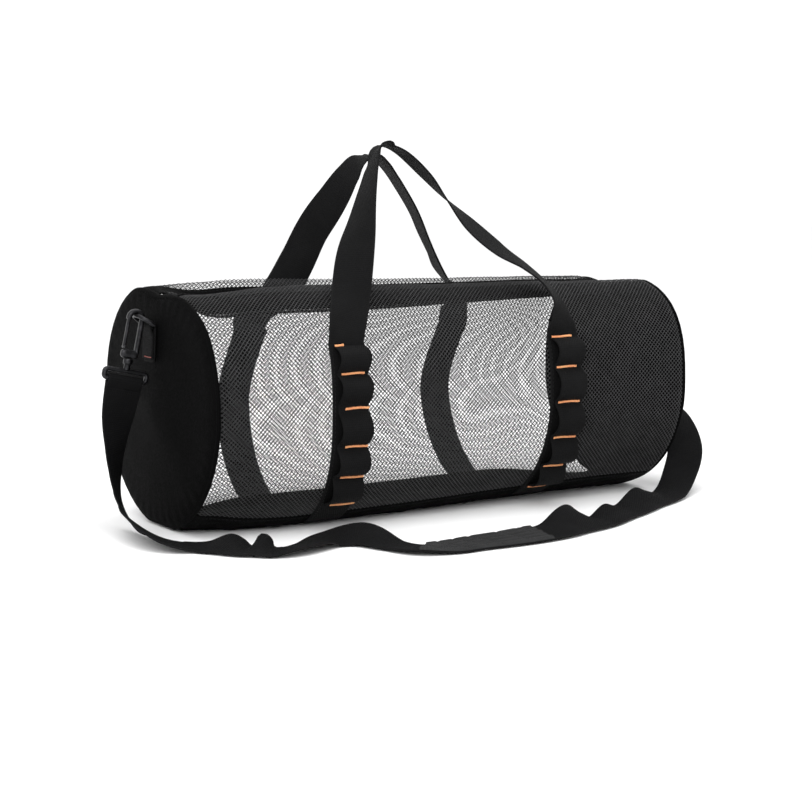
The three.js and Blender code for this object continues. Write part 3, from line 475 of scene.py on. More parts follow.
def add_bar(shape, points, normals, half_across, half_out, sides=12, square=2.6, loop=False):
    """Adds a bar with a rounded section along points, flat to the plane that the normals stand on."""
    normals = np.broadcast_to(np.asarray(normals, float), points.shape)
    if loop:
        along = unit(np.roll(points, -1, axis=0) - np.roll(points, 1, axis=0))
    else:
        along = unit(np.gradient(points, axis=0))
    across = unit(np.cross(along, normals))
    turn = np.linspace(0, 2 * math.pi, sides, endpoint=False)
    c, s = np.cos(turn), np.sin(turn)
    a = np.sign(c) * np.abs(c) ** (2 / square)
    b = np.sign(s) * np.abs(s) ** (2 / square)
    half_across = np.broadcast_to(np.asarray(half_across, float), len(points))[:, None, None]
    half_out = np.broadcast_to(np.asarray(half_out, float), len(points))[:, None, None]
    rings = (points[:, None] + half_across * a[None, :, None] * across[:, None]
             + half_out * b[None, :, None] * normals[:, None])
    girth = turn * float(half_across.mean())
    weave = weave_grid(length_along(points)[:, None], girth[None])
    shape.grid(rings, weave, loop_rows=loop, loop_columns=True, caps=not loop)


def add_lathe(shape, origin, axis, side, profile, sides=20):
    """Adds a turned form: profile rows are distance along the axis and radius."""
    other = np.cross(axis, side)
    turn = np.linspace(0, 2 * math.pi, sides, endpoint=False)
    spoke = np.cos(turn)[:, None] * side + np.sin(turn)[:, None] * other
    rings = np.array([origin + axis * along + spoke * radius for along, radius in profile])
    usual_radius = 5
    weave = weave_grid(np.array(profile)[:, :1], turn[None] * usual_radius)
    shape.grid(rings, weave, loop_columns=True, caps=True)


def add_stitches(shape, starts, ends, out, width, sides=5):
    """Adds thread stitches between points, each a short rounded strand that dips at its ends."""
    starts, ends, out = np.atleast_2d(starts), np.atleast_2d(ends), np.atleast_2d(out)
    along = unit(ends - starts)
    across = unit(np.cross(out, along))
    # Rows of a strand: share of its length, of its thickness, and lift in thicknesses
    rows = ((0.0, 0.35, -0.25), (0.22, 0.95, 0.3), (0.78, 0.95, 0.3), (1.0, 0.35, -0.25))
    turn = np.linspace(0, 2 * math.pi, sides, endpoint=False)
    for k, (start, end) in enumerate(zip(starts, ends)):
        rings = []
        for share, swell, lift in rows:
            middle = start + (end - start) * share + out[k] * lift * width
            rings.append(middle + width / 2 * swell * (np.cos(turn)[:, None] * across[k]
                                                       + np.sin(turn)[:, None] * out[k]))
        rings = np.array(rings)
        weave = weave_grid(np.array(rows)[:, :1] * 3, turn[None] * width / 2)
        shape.grid(rings, weave, loop_columns=True, caps=True)


def add_seam(shape, points, out, sizes):
    """Adds a row of even stitches along a line of points."""
    run = length_along(points)
    length, gap = sizes.stitch_length / MM, sizes.stitch_gap / MM
    places = np.arange(gap, run[-1] - length, length + gap)
    if len(places) == 0:
        return
    normal = unit(sample(out, run, places + length / 2))
    starts, ends = sample(points, run, places), sample(points, run, places + length)
    add_stitches(shape, starts, ends, normal, sizes.stitch_width / MM)


def set_inputs(tree, node, inputs):
    """Gives a shader node's inputs their values, or links them to other nodes' outputs."""
    for key, value in inputs.items():
        if isinstance(value, bpy.types.NodeSocket):
            tree.links.new(value, node.inputs[key])
        else:
            node.inputs[key].default_value = value


def add_node(tree, kind, inputs=(), **settings):
    """Adds a shader node; an input is a value or another node's output."""
    node = tree.nodes.new(kind)
    for key, value in settings.items():
        setattr(node, key, value)
    set_inputs(tree, node, dict(inputs))
    return node


def calculate(tree, operation, first, second=0.0):
    """Adds a maths node and gives its result."""
    return add_node(tree, "ShaderNodeMath", {0: first, 1: second}, operation=operation).outputs[0]


def weave_parts(tree):
    """Length and width coordinates of the cloth in millimetres."""
    source = add_node(tree, "ShaderNodeUVMap", uv_map="weave").outputs["UV"]
    parts = add_node(tree, "ShaderNodeSeparateXYZ", {"Vector": source})
    return parts.outputs["X"], parts.outputs["Y"]


def weave_height(tree, pitch_along, pitch_across):
    """Height of a plain weave: yarns pass over and under each other by turns."""
    u, v = weave_parts(tree)
    u, v = calculate(tree, "DIVIDE", u, pitch_along), calculate(tree, "DIVIDE", v, pitch_across)
    humps = [calculate(tree, "ABSOLUTE", calculate(tree, "SINE", calculate(tree, "MULTIPLY", c, math.pi)))
             for c in (u, v)]
    cell = calculate(tree, "ADD", calculate(tree, "FLOOR", u), calculate(tree, "FLOOR", v))
    over = calculate(tree, "FLOORED_MODULO", cell, 2.0)
    lower = calculate(tree, "MULTIPLY", humps[1], calculate(tree, "SUBTRACT", 1.0, over))
    return calculate(tree, "ADD", calculate(tree, "MULTIPLY", humps[0], over), lower)


def patches(tree, scale, detail=3.0):
    """Wandering values from 0 to 1 over the piece, with scale features to a metre."""
    place = add_node(tree, "ShaderNodeTexCoord").outputs["Object"]
    inputs = {"Vector": place, "Scale": scale, "Detail": detail, "Roughness": 0.6}
    return add_node(tree, "ShaderNodeTexNoise", inputs, noise_dimensions="3D").outputs["Fac"]


def mix_colour(tree, share, first, second):
    """Mixes two colours by a share."""
    node = add_node(tree, "ShaderNodeMix", data_type="RGBA")
    set_inputs(tree, node, {0: share, 6: first, 7: second})
    return node.outputs[2]


def spread(tree, value, low, high, start=0.0, end=1.0):
    """Maps a value from low..high to start..end and holds it there."""
    inputs = {"Value": value, "From Min": low, "From Max": high, "To Min": start, "To Max": end}
    return add_node(tree, "ShaderNodeMapRange", inputs).outputs["Result"]


def shade(colour, factor):
    """A colour made lighter or darker, with full cover."""
    return tuple(min(1.0, channel * factor) for channel in colour) + (1.0,)


def new_material(name):
    """A new material with its node tree and its shader."""
    material = bpy.data.materials.new(name)
    material.use_nodes = True
    return material, material.node_tree, material.node_tree.nodes["Principled BSDF"]


def raised(tree, height, depth, strength):
    """Normals of a surface raised by a height, depth in millimetres."""
    inputs = {"Height": height, "Distance": depth * MM, "Strength": strength}
    return add_node(tree, "ShaderNodeBump", inputs).outputs["Normal"]


def cloth_material(name, colour, pitch, relief, sheen, roughness, shine, worn_edge=None):
    """Woven cloth: a painted highlight on the yarns' tops, faint patches, and paler worn edges on webbing.
    """
    material, tree, shader = new_material(name)
    height = weave_height(tree, *pitch)
    broad, fine = patches(tree, 18.0), patches(tree, 420.0, 2.0)
    # Painted highlight: the raised tops of the weave's yarns are coloured lighter and the hollows darker
    yarn = mix_colour(tree, height, shade(colour, 0.55), shade(colour, 1.25))
    # Faint random dust patches, mixed over the painted highlight of the yarns
    dust_and_highlight = mix_colour(tree, spread(tree, broad, 0.42, 0.7, 0.0, 0.55), yarn, shade(colour, 1.7))
    if worn_edge:
        worn_width = 2.2
        from_middle = calculate(tree, "ABSOLUTE", weave_parts(tree)[1])
        edge = spread(tree, from_middle, worn_edge - worn_width, worn_edge, 0.0, 0.5)
        dust_and_highlight = mix_colour(tree, calculate(tree, "MULTIPLY", edge, fine), dust_and_highlight, shade(colour, 3.0))
    rough = calculate(tree, "ADD", height, calculate(tree, "MULTIPLY", fine, 0.5))
    set_inputs(tree, shader, {
        "Base Color": dust_and_highlight,
        "Roughness": spread(tree, fine, 0.3, 0.7, roughness - 0.08, roughness + 0.08),
        "Normal": raised(tree, rough, relief, 0.8),
        "Sheen Weight": sheen,
        "Sheen Roughness": 0.45,
        "Specular IOR Level": shine,
    })
    return material


def yarn_material(name, colour, twist, sheen, roughness):
    """Twisted yarn or sewing thread: a fine slanting twist, a painted highlight on the crest of each ply,
    and uneven dye.
    """
    material, tree, shader = new_material(name)
    u, v = weave_parts(tree)
    turns_along, turns_round = calculate(tree, "DIVIDE", u, twist), calculate(tree, "DIVIDE", v, twist * 0.6)
    ply = calculate(tree, "MULTIPLY", calculate(tree, "ADD", turns_along, turns_round), math.pi)
    height = calculate(tree, "ABSOLUTE", calculate(tree, "SINE", ply))
    dye = spread(tree, patches(tree, 90.0), 0.35, 0.7, 0.0, 0.6)
    # Painted highlight: the crest of each ply is coloured lighter and the grooves darker
    ply_highlight = mix_colour(tree, height, shade(colour, 0.6), shade(colour, 1.15))
    set_inputs(tree, shader, {
        "Base Color": mix_colour(tree, dye, ply_highlight, shade(colour, 1.6)),
        "Normal": raised(tree, height, 0.08, 0.7),
        "Roughness": roughness,
        "Sheen Weight": sheen,
        "Specular IOR Level": 0.1,
    })
    return material


def metal_material(name, colour):
    """Dark plated metal with a faint grain and lighter rubbed patches."""
    material, tree, shader = new_material(name)
    broad, fine = patches(tree, 160.0), patches(tree, 1500.0, 4.0)
    rubbed = spread(tree, broad, 0.45, 0.75)
    set_inputs(tree, shader, {
        "Base Color": mix_colour(tree, rubbed, shade(colour, 0.8), shade(colour, 1.8)),
        "Roughness": spread(tree, fine, 0.3, 0.7, 0.34, 0.5),
        "Normal": raised(tree, fine, 0.04, 0.4),
        "Metallic": 1.0,
    })
    return material


def nylon_material(name, colour):
    """Moulded nylon of the zip, a little glossy."""
    material, tree, shader = new_material(name)
    broad, fine = patches(tree, 60.0), patches(tree, 900.0)
    set_inputs(tree, shader, {
        "Base Color": mix_colour(tree, broad, shade(colour, 0.7), shade(colour, 1.6)),
        "Roughness": spread(tree, fine, 0.3, 0.7, 0.35, 0.5),
        "Normal": raised(tree, fine, 0.03, 0.4),
        "Specular IOR Level": 0.3,
    })
    return material


def paper_material(name, colour):
    """Pale matt paper with a faint grain."""
    material, tree, shader = new_material(name)
    set_inputs(tree, shader, {
        "Base Color": mix_colour(tree, patches(tree, 300.0), shade(colour, 0.985), shade(colour, 1.01)),
        "Roughness": 0.9,
        "Specular IOR Level": 0.05,
    })
    return material


# Each finish: its maker, its colour in the sidebar, and the maker's further values
WEBBING_PITCH = (2.2, 1.1)
FINISHES = {
    "panel_cloth": (cloth_material, "cloth", (0.45, 0.45), 0.16, 0.0, 0.7, 0.025),
    "handle_weave": (cloth_material, "webbing", WEBBING_PITCH, 0.3, 0.004, 0.7, 0.04, 20.0),
    "strap_weave": (cloth_material, "strap", WEBBING_PITCH, 0.3, 0.004, 0.7, 0.04, 20.0),
    "pad_weave": (cloth_material, "pad", WEBBING_PITCH, 0.3, 0.015, 0.68, 0.06),
    "net_yarn": (yarn_material, "net", 0.5, 0.01, 0.7),
    "orange_thread": (yarn_material, "orange_thread", 0.6, 0.02, 0.5),
    # The orange thread darkened: painted shade on the ring tab's bar tack
    "tab_thread": (yarn_material, "tab_thread", 0.6, 0.02, 0.5),
    "black_thread": (yarn_material, "black_thread", 0.5, 0.01, 0.55),
    "dark_metal": (metal_material, "metal"),
    "zip_nylon": (nylon_material, "zip"),
    "floor_paper": (paper_material, "floor"),
}


def finish(name):
    """The material of that name, made on first use from the colours in the sidebar."""
    found = bpy.data.materials.get(name)
    if found:
        return found
    maker, colour, *values = FINISHES[name]
    return maker(name, getattr(bpy.context.scene.net_bag_colours, colour), *values)


class NetBagSizes(bpy.types.PropertyGroup):
    """Sizes of the details that dress the bag."""

    net_cell_along: FloatProperty(
        name="Net cell along", description="Diagonal of a net cell along the bag",
        default=0.0047, unit="LENGTH")
    net_cell_down: FloatProperty(
        name="Net cell down", description="Diagonal of a net cell down the wall",
        default=0.0049, unit="LENGTH")
    strand_width: FloatProperty(
        name="Strand width", description="Width of a strand of the net",
        default=0.00084, unit="LENGTH")
    strand_thickness: FloatProperty(
        name="Strand thickness", description="Thickness of a strand of the net",
        default=0.0005, unit="LENGTH")
    webbing_width: FloatProperty(
        name="Webbing width", description="Width of the straps and handles",
        default=0.040, unit="LENGTH")
    webbing_thickness: FloatProperty(
        name="Webbing thickness", description="Thickness of the straps and handles",
        default=0.002, unit="LENGTH")
    loop_bulge: FloatProperty(
        name="Loop bulge", description="How far a loop stands off its strap",
        default=0.011, unit="LENGTH")
    low_loop_bulge: FloatProperty(
        name="Low loop bulge", description="How far the lowest loop stands off",
        default=0.0085, unit="LENGTH")
    loop_width: FloatProperty(
        name="Loop width", description="Width of the webbing of the loops",
        default=0.035, unit="LENGTH")
    tack_height: FloatProperty(
        name="Tack height", description="Height of the stitches in a bar tack",
        default=0.0027, unit="LENGTH")
    stitch_length: FloatProperty(
        name="Stitch length", description="Length of a stitch in a seam",
        default=0.003, unit="LENGTH")
    stitch_gap: FloatProperty(
        name="Stitch gap", description="Gap between the stitches of a seam",
        default=0.0013, unit="LENGTH")
    stitch_width: FloatProperty(
        name="Stitch width", description="Thickness of the sewing thread",
        default=0.0007, unit="LENGTH")
    coil_pitch: FloatProperty(
        name="Coil pitch", description="Distance between the turns of the zip's coil",
        default=0.0018, unit="LENGTH")
    pad_thickness: FloatProperty(
        name="Pad thickness", description="Thickness of the pad on the shoulder strap",
        default=0.0024, unit="LENGTH")


class NetBagColours(bpy.types.PropertyGroup):
    """Colours of the bag's materials and of the floor."""

    net: FloatVectorProperty(
        name="Net", description="Yarn of the net",
        default=(0.042, 0.042, 0.043), subtype="COLOR", min=0, max=1)
    cloth: FloatVectorProperty(
        name="Cloth", description="Solid cloth panels",
        default=(0.0018, 0.0018, 0.0019), subtype="COLOR", min=0, max=1)
    webbing: FloatVectorProperty(
        name="Webbing", description="Straps and handles",
        default=(0.0058, 0.0058, 0.006), subtype="COLOR", min=0, max=1)
    strap: FloatVectorProperty(
        name="Strap", description="Shoulder strap",
        default=(0.0055, 0.0055, 0.0058), subtype="COLOR", min=0, max=1)
    pad: FloatVectorProperty(
        name="Pad", description="Shoulder strap's pad",
        default=(0.022, 0.022, 0.0225), subtype="COLOR", min=0, max=1)
    orange_thread: FloatVectorProperty(
        name="Orange thread", description="Bar tacks",
        default=(0.86, 0.35, 0.16), subtype="COLOR", min=0, max=1)
    # Orange thread darkened: painted shade for the bar tack on a ring tab
    tab_thread: FloatVectorProperty(
        name="Tab thread", description="Bar tack on a ring tab",
        default=(0.2, 0.07, 0.06), subtype="COLOR", min=0, max=1)
    black_thread: FloatVectorProperty(
        name="Black thread", description="Seams",
        default=(0.008, 0.008, 0.0085), subtype="COLOR", min=0, max=1)
    metal: FloatVectorProperty(
        name="Metal", description="Rings, hooks and slider",
        default=(0.03, 0.03, 0.032), subtype="COLOR", min=0, max=1)
    zip: FloatVectorProperty(
        name="Zip", description="Nylon coil",
        default=(0.006, 0.006, 0.0065), subtype="COLOR", min=0, max=1)
    floor: FloatVectorProperty(
        name="Floor", description="Floor under the bag",
        default=(0.92, 0.92, 0.92), subtype="COLOR", min=0, max=1)


class NETBAG_OT_make_camera(bpy.types.Operator):
    """Sets the camera at the photo's viewing angle"""

    bl_idname = "netbag.make_camera"
    bl_label = "Camera"

    def execute(self, context):
        lens = bpy.data.cameras.new("photo_camera")
        lens.sensor_width = CAMERA_SENSOR
        lens.sensor_fit = "HORIZONTAL"
        lens.lens = CAMERA_LENS
        camera = bpy.data.objects.new("photo_camera", lens)
        context.scene.collection.objects.link(camera)
        camera.location = CAMERA_PLACE
        camera.rotation_euler = (math.radians(90 - CAMERA_DOWN_DEG), 0.0, math.radians(CAMERA_HEADING_DEG))
        context.scene.camera = camera
        return {"FINISHED"}


class NETBAG_OT_make_strap(bpy.types.Operator):
    """Makes the loose shoulder strap with its pad and its sewn ends"""

    bl_idname = "netbag.make_strap"
    bl_label = "Shoulder strap"

    def execute(self, context):
        sizes = context.scene.net_bag_sizes
        width, thickness = sizes.webbing_width / MM, sizes.webbing_thickness / MM
        line = strap_line(STATION_STEP)
        across, face = route_frame(line)
        shape = Shape()
        add_webbing(shape, line[:, :3], across, face, width, thickness)
        strap = make_piece("strap_webbing", shape, finish("strap_weave"),
                           replaces=("shoulder_strap",))
        pad = self.make_pad(sizes, line, across, face)
        folds = [self.make_fold(sizes, name, line, across, face) for name in ("left", "right")]
        return {"FINISHED"}

    def make_pad(self, sizes, line, across, face):
        """The doubled stretch with lengthwise ribs between sewn cross seams."""
        run = length_along(line[:, :3])
        rows = np.array(STRAP_ROWS, float)
        places = []
        for row in PAD_ROWS:
            x, y = (np.interp(row, range(len(rows)), rows[:, column]) for column in (0, 1))
            places.append(run[np.argmin(np.hypot(line[:, 0] - x, line[:, 1] - y))])
        stations = np.linspace(places[0], places[1], 110)
        middle = sample(line[:, :3], run, stations)
        out, side = -unit(sample(face, run, stations)), unit(sample(across, run, stations))
        half, thickness = sizes.webbing_width / MM / 2, sizes.pad_thickness / MM
        ribs, slant, seam_reach = 5, 0.45, 4.0
        valley, ridge = 0.42, 0.75
        places_across = np.linspace(-1, 1, 61)
        seams = np.array(PAD_SEAMS) * (places[1] - places[0])
        run_in = (stations - places[0])[:, None] + slant * half * places_across[None]
        near = np.min(np.abs(run_in[..., None] - seams), axis=-1)
        pinch = np.clip(near / seam_reach, 0, 1) ** 0.6
        rib = np.abs(np.sin(math.pi * ribs * (places_across + 1) / 2)) ** 0.7
        edge = np.sqrt(np.clip(1 - np.abs(places_across) ** 24, 0, 1))
        lift = thickness * (valley + ridge * pinch * rib[None]) * edge[None]
        base = sizes.webbing_thickness / MM / 2 + CLEARANCE / 2
        spots = middle[:, None] + places_across[None, :, None] * half * side[:, None]
        top = spots + (base + lift)[..., None] * out[:, None]
        bottom = spots + base * out[:, None]
        weave = weave_grid(stations[:, None], places_across[None] * half)
        shape = Shape()
        shape.shell(top, bottom, weave)
        return make_piece("strap_pad_ribbed", shape, finish("pad_weave"), replaces=("strap_pad",))

    def make_fold(self, sizes, name, line, across, face):
        """The strap's end, passed round the bar of the hook's eye and sewn down on itself."""
        side = -1 if name == "left" else 1
        thickness = sizes.webbing_thickness / MM
        bar_radius, gap, narrower = 2.5, 0.4, 3
        wrap = bar_radius + gap + thickness / 2
        bar = EYE_BOTTOM + EYE_BAR_HALF
        # Stations of the strap that the fold is sewn down on, counted from its end
        sewn = np.arange(2, 13)
        tail = sewn if side < 0 else len(line) - 1 - sewn
        behind = np.sign(face[tail, 1])[:, None] * face[tail] * (thickness + CLEARANCE)
        down = (line[tail, :3] + behind)[::-1]
        turn = np.radians(np.linspace(20, 180, 13))
        neck_rows = [(wrap * math.cos(a), bar + wrap * math.sin(a)) for a in turn]
        neck_rows += [(-wrap * 0.75, bar - 4), (-0.6, bar - 8)]
        neck = np.array([hook_place(side, (0, 0, z)) + (0, y, 0) for y, z in neck_rows])
        middle = np.vstack([down, neck])
        bar_direction = hook_direction(side, (1, 0, 0))
        towards = np.sign(across[tail] @ bar_direction)[:, None] * across[tail]
        sideways = np.vstack([towards[::-1], np.tile(bar_direction, (len(neck), 1))])
        along = unit(np.gradient(middle, axis=0))
        shape = Shape()
        width = sizes.webbing_width / MM - narrower
        add_webbing(shape, middle, sideways, unit(np.cross(sideways, along)), width, thickness)
        return make_piece(f"strap_fold_{name}", shape, finish("strap_weave"))


def hook_place(side, local):
    """World points of places in a hook's own frame."""
    lift = math.radians(RING_LIFT_DEG)
    tilt = -side * math.radians(HOOK_TILT_DEG)
    bar = ring_bar(side)
    middle = bar + RING_DEPTH * np.array([side * math.cos(lift), 0, math.sin(lift)])
    middle[2] -= HOOK_BOW_INSIDE - RING_WIRE_RADIUS - CLEARANCE
    turned = np.asarray(local, float) @ np.array([
        [math.cos(tilt), 0, -math.sin(tilt)], [0, 1, 0], [math.sin(tilt), 0, math.cos(tilt)]])
    return middle + turned


def hook_direction(side, local):
    """A direction of a hook's own frame in the world."""
    return hook_place(side, local) - hook_place(side, (0, 0, 0))


def tab_face_x(side, z):
    """Place along X where a ring tab lies on its end."""
    y = np.linspace(-TAB_WIDTH / 2, TAB_WIDTH / 2, 5)
    return side * np.max(np.abs(end_face_x(side, y, z)))


def ring_bar(side):
    """Middle of the straight bar of a D-ring, which its tab wraps."""
    # Half of the tab's thickness
    half_layer = 1.0
    wrap = RING_WIRE_RADIUS + CLEARANCE + half_layer
    off_end = CLEARANCE + half_layer + wrap
    return np.array([tab_face_x(side, RING_BAR_HEIGHT) + side * off_end, 0, RING_BAR_HEIGHT])


class NETBAG_OT_make_nets(bpy.types.Operator):
    """Makes the open net of the two walls, strand by strand"""

    bl_idname = "netbag.make_nets"
    bl_label = "Net walls"

    def execute(self, context):
        sizes = context.scene.net_bag_sizes
        for name, side in (("front", 1), ("back", -1)):
            shape = Shape()
            self.weave_wall(shape, side, sizes)
            make_piece(f"net_strands_{name}", shape, finish("net_yarn"),
                       replaces=(f"net_{name}",), sharp_deg=180)
        return {"FINISHED"}

    def wall_angles(self, side):
        """Angles at even distances down the wall, for places along the bag, and the wall's mean length."""
        xs = np.linspace(-TUBE_END, TUBE_END, 96)
        shares = np.linspace(0, 1, 240)
        top = angle_at_side(xs, ZIP_PANEL_HALF_WIDTH)[:, None]
        degrees = top + (low_edge(side, xs)[:, None] - top) * shares
        points = section_point(xs[:, None], side * degrees)
        angles, lengths = [], []
        for line, row in zip(points, degrees):
            run = length_along(line)
            lengths.append(run[-1])
            angles.append(np.interp(shares * run[-1], run, row))
        return xs, shares, np.array(angles), float(np.mean(lengths))

    def weave_wall(self, shape, side, sizes):
        """Adds two crossing families of strands, which pass over and under each other by turns."""
        xs, shares, angles, height = self.wall_angles(side)
        along, down = sizes.net_cell_along / MM, sizes.net_cell_down / MM
        end_gap, shortest, clear_of_end, sway_depth = 0.4, 0.2, 0.15, 0.16
        reach, drop = (TUBE_END - end_gap) / along, height / down
        for family in (1, -1):
            for k in range(int(-reach - drop) - 1, int(reach + drop) + 2):
                bounds = sorted(((0 - k) * family, (drop - k) * family))
                start, end = max(-reach, bounds[0]), min(reach, bounds[1])
                if end - start < shortest:
                    continue
                inside = np.arange(math.ceil(start + clear_of_end), math.floor(end - clear_of_end) + 1)
                a = np.concatenate([[start], inside, [end]])
                sway = family * np.where(np.floor(a + 0.5) % 2 == 0, 1, -1) * sway_depth
                self.add_strand(shape, side, a * along, np.clip((a * family + k) / drop, 0, 1), sway,
                                (xs, shares, angles), sizes)

    def add_strand(self, shape, side, x, share, sway, wall, sizes):
        """Adds one flat strand, where the net hangs in a little between its sewn edges and straps."""
        xs, shares, angles = wall
        just_inside = 1.001
        column = np.clip((x - xs[0]) / (xs[1] - xs[0]), 0, len(xs) - just_inside)
        row = np.clip(share * (len(shares) - 1), 0, len(shares) - just_inside)
        i, j = column.astype(int), row.astype(int)
        a, b = column - i, row - j
        degrees = ((angles[i, j] * (1 - a) + angles[i + 1, j] * a) * (1 - b)
                   + (angles[i, j + 1] * (1 - a) + angles[i + 1, j + 1] * a) * b)
        normals = section_normal(x, side * degrees)
        edge_share, ease, slack_depth, wall_length = 0.12, 25, 1.1, 290
        fade = np.clip(np.minimum(share, 1 - share) / edge_share, 0, 1)
        fade = fade * np.clip((TUBE_END - np.abs(x)) / ease, 0, 1)
        for strap in STRAP_X.values():
            fade = fade * np.clip((np.abs(x - strap) - STRAP_HALF_WIDTH) / ease, 0, 1)
        slack = -slack_depth * fade * (1 + soft_noise(5 + side, (170, 115, 75), x, share * wall_length))
        points = section_point(x, side * degrees) + normals * (sway + slack - NET_THICKNESS / 2)[:, None]
        along = unit(np.gradient(points, axis=0))
        across = unit(np.cross(along, normals))
        w, t = sizes.strand_width / MM / 2, sizes.strand_thickness / MM / 2
        rings = np.stack([points + across * w, points + normals * t,
                          points - across * w, points - normals * t], axis=1)
        run = length_along(points)
        weave = weave_grid(run[:, None], np.array([[0, 0.5, 1.0, 1.5]]))
        shape.grid(rings, weave, loop_columns=True)


class NETBAG_OT_make_panels(bpy.types.Operator):
    """Makes the solid strips beside the zip and the bottom panel"""

    bl_idname = "netbag.make_panels"
    bl_label = "Zip strips and bottom"

    def execute(self, context):
        corner = np.linspace(TUBE_CORNER_START, TUBE_END, 5)
        xs = np.unique(np.concatenate([np.linspace(-TUBE_END, TUBE_END, 150), corner, -corner]))
        from_zip, lift = ZIP_STRIP.T
        inner_seam, outer_seam, ease = 8, 34, 8
        loose = np.clip((from_zip - inner_seam) / ease, 0, 1) * np.clip((outer_seam - from_zip) / ease, 0, 1)
        for name, side in (("front", 1), ("back", -1)):
            shape = Shape()
            degrees = side * angle_at_side(xs[:, None], from_zip[None])
            relief = 0.5 * soft_noise(31 + side, (90, 47, 28), xs[:, None], from_zip[None]) * loose[None]
            outer = off_surface(xs[:, None], degrees, lift[None] + relief)
            inner = off_surface(xs[:, None], degrees, relief - NET_THICKNESS + 0 * lift[None])
            weave = weave_grid(xs[:, None], from_zip[None])
            shape.shell(outer, inner, weave)
            make_piece(f"zip_strip_{name}", shape, finish("panel_cloth"),
                       replaces=(f"zip_panel_{name}",))
        self.make_bottom(xs)
        return {"FINISHED"}

    def make_bottom(self, xs):
        """The bottom panel: hemmed over the net's edges, wrinkled where it turns up, flat on the floor."""
        hem, mm_per_degree, weave_per_degree = 0.9, 2.2, 2.3
        rise = np.array([-hem, -hem + 0.1, -0.3, 0.4, 1.0, 1.8])
        spread_out = np.linspace(0, 1, 35)[1:]
        halves = []
        for front_or_back in (1, -1):
            edge = low_edge(front_or_back, xs)[:, None]
            below = rise[-1] + (180 - edge - rise[-1]) * spread_out[None]
            depth = np.hstack([np.tile(rise, (len(xs), 1)), below])
            halves.append((edge + depth, depth))
        d = np.hstack([halves[0][0], 360 - halves[1][0][:, -2::-1]])
        depth = np.hstack([halves[0][1], halves[1][1][:, -2::-1]])
        hem_lift = np.interp(depth, [-hem, -hem + 0.1, 0.4, 1.2, 2.0], [0.05, 0.25, 0.25, 0.1, 0.0])
        x = np.broadcast_to(xs[:, None], d.shape)
        side = np.where(d < 180, 1, -1)
        down = np.minimum(d, 360 - d) * mm_per_degree
        crease = soft_noise(71, (62, 41, 27), x + 0.8 * down, side * 40 + down)
        ridge_start, ridge_power, ridge_height, inner_level = 0.1, 1.5, 3.2, 0.6
        ridge = np.maximum(0, crease - ridge_start) ** ridge_power * ridge_height
        hem_ease_deg, end_ease, held_half_width, strap_ease, under_strap = 4, 30, 19, 18, 0.06
        fade = np.clip(depth / hem_ease_deg, 0, 1) * np.clip((TUBE_END - np.abs(x)) / end_ease, 0, 1)
        for strap in STRAP_X.values():
            fade = fade * np.clip((np.abs(x - strap) - held_half_width) / strap_ease, under_strap, 1)
        relief = ridge * fade + 0.5 * fade * soft_noise(72, (33, 19), x, down)
        outer = off_surface(x, d, hem_lift + relief)
        inner = off_surface(x, d, relief - BOTTOM_THICKNESS)
        inner[..., 2] = np.maximum(inner[..., 2], inner_level)
        outer[..., 2] = np.maximum(outer[..., 2], 0.0)
        weave = np.stack([x, d * weave_per_degree], axis=-1)
        shape = Shape()
        shape.shell(outer, inner, weave)
        make_piece("bottom_cloth", shape, finish("panel_cloth"), replaces=("bottom_panel",))


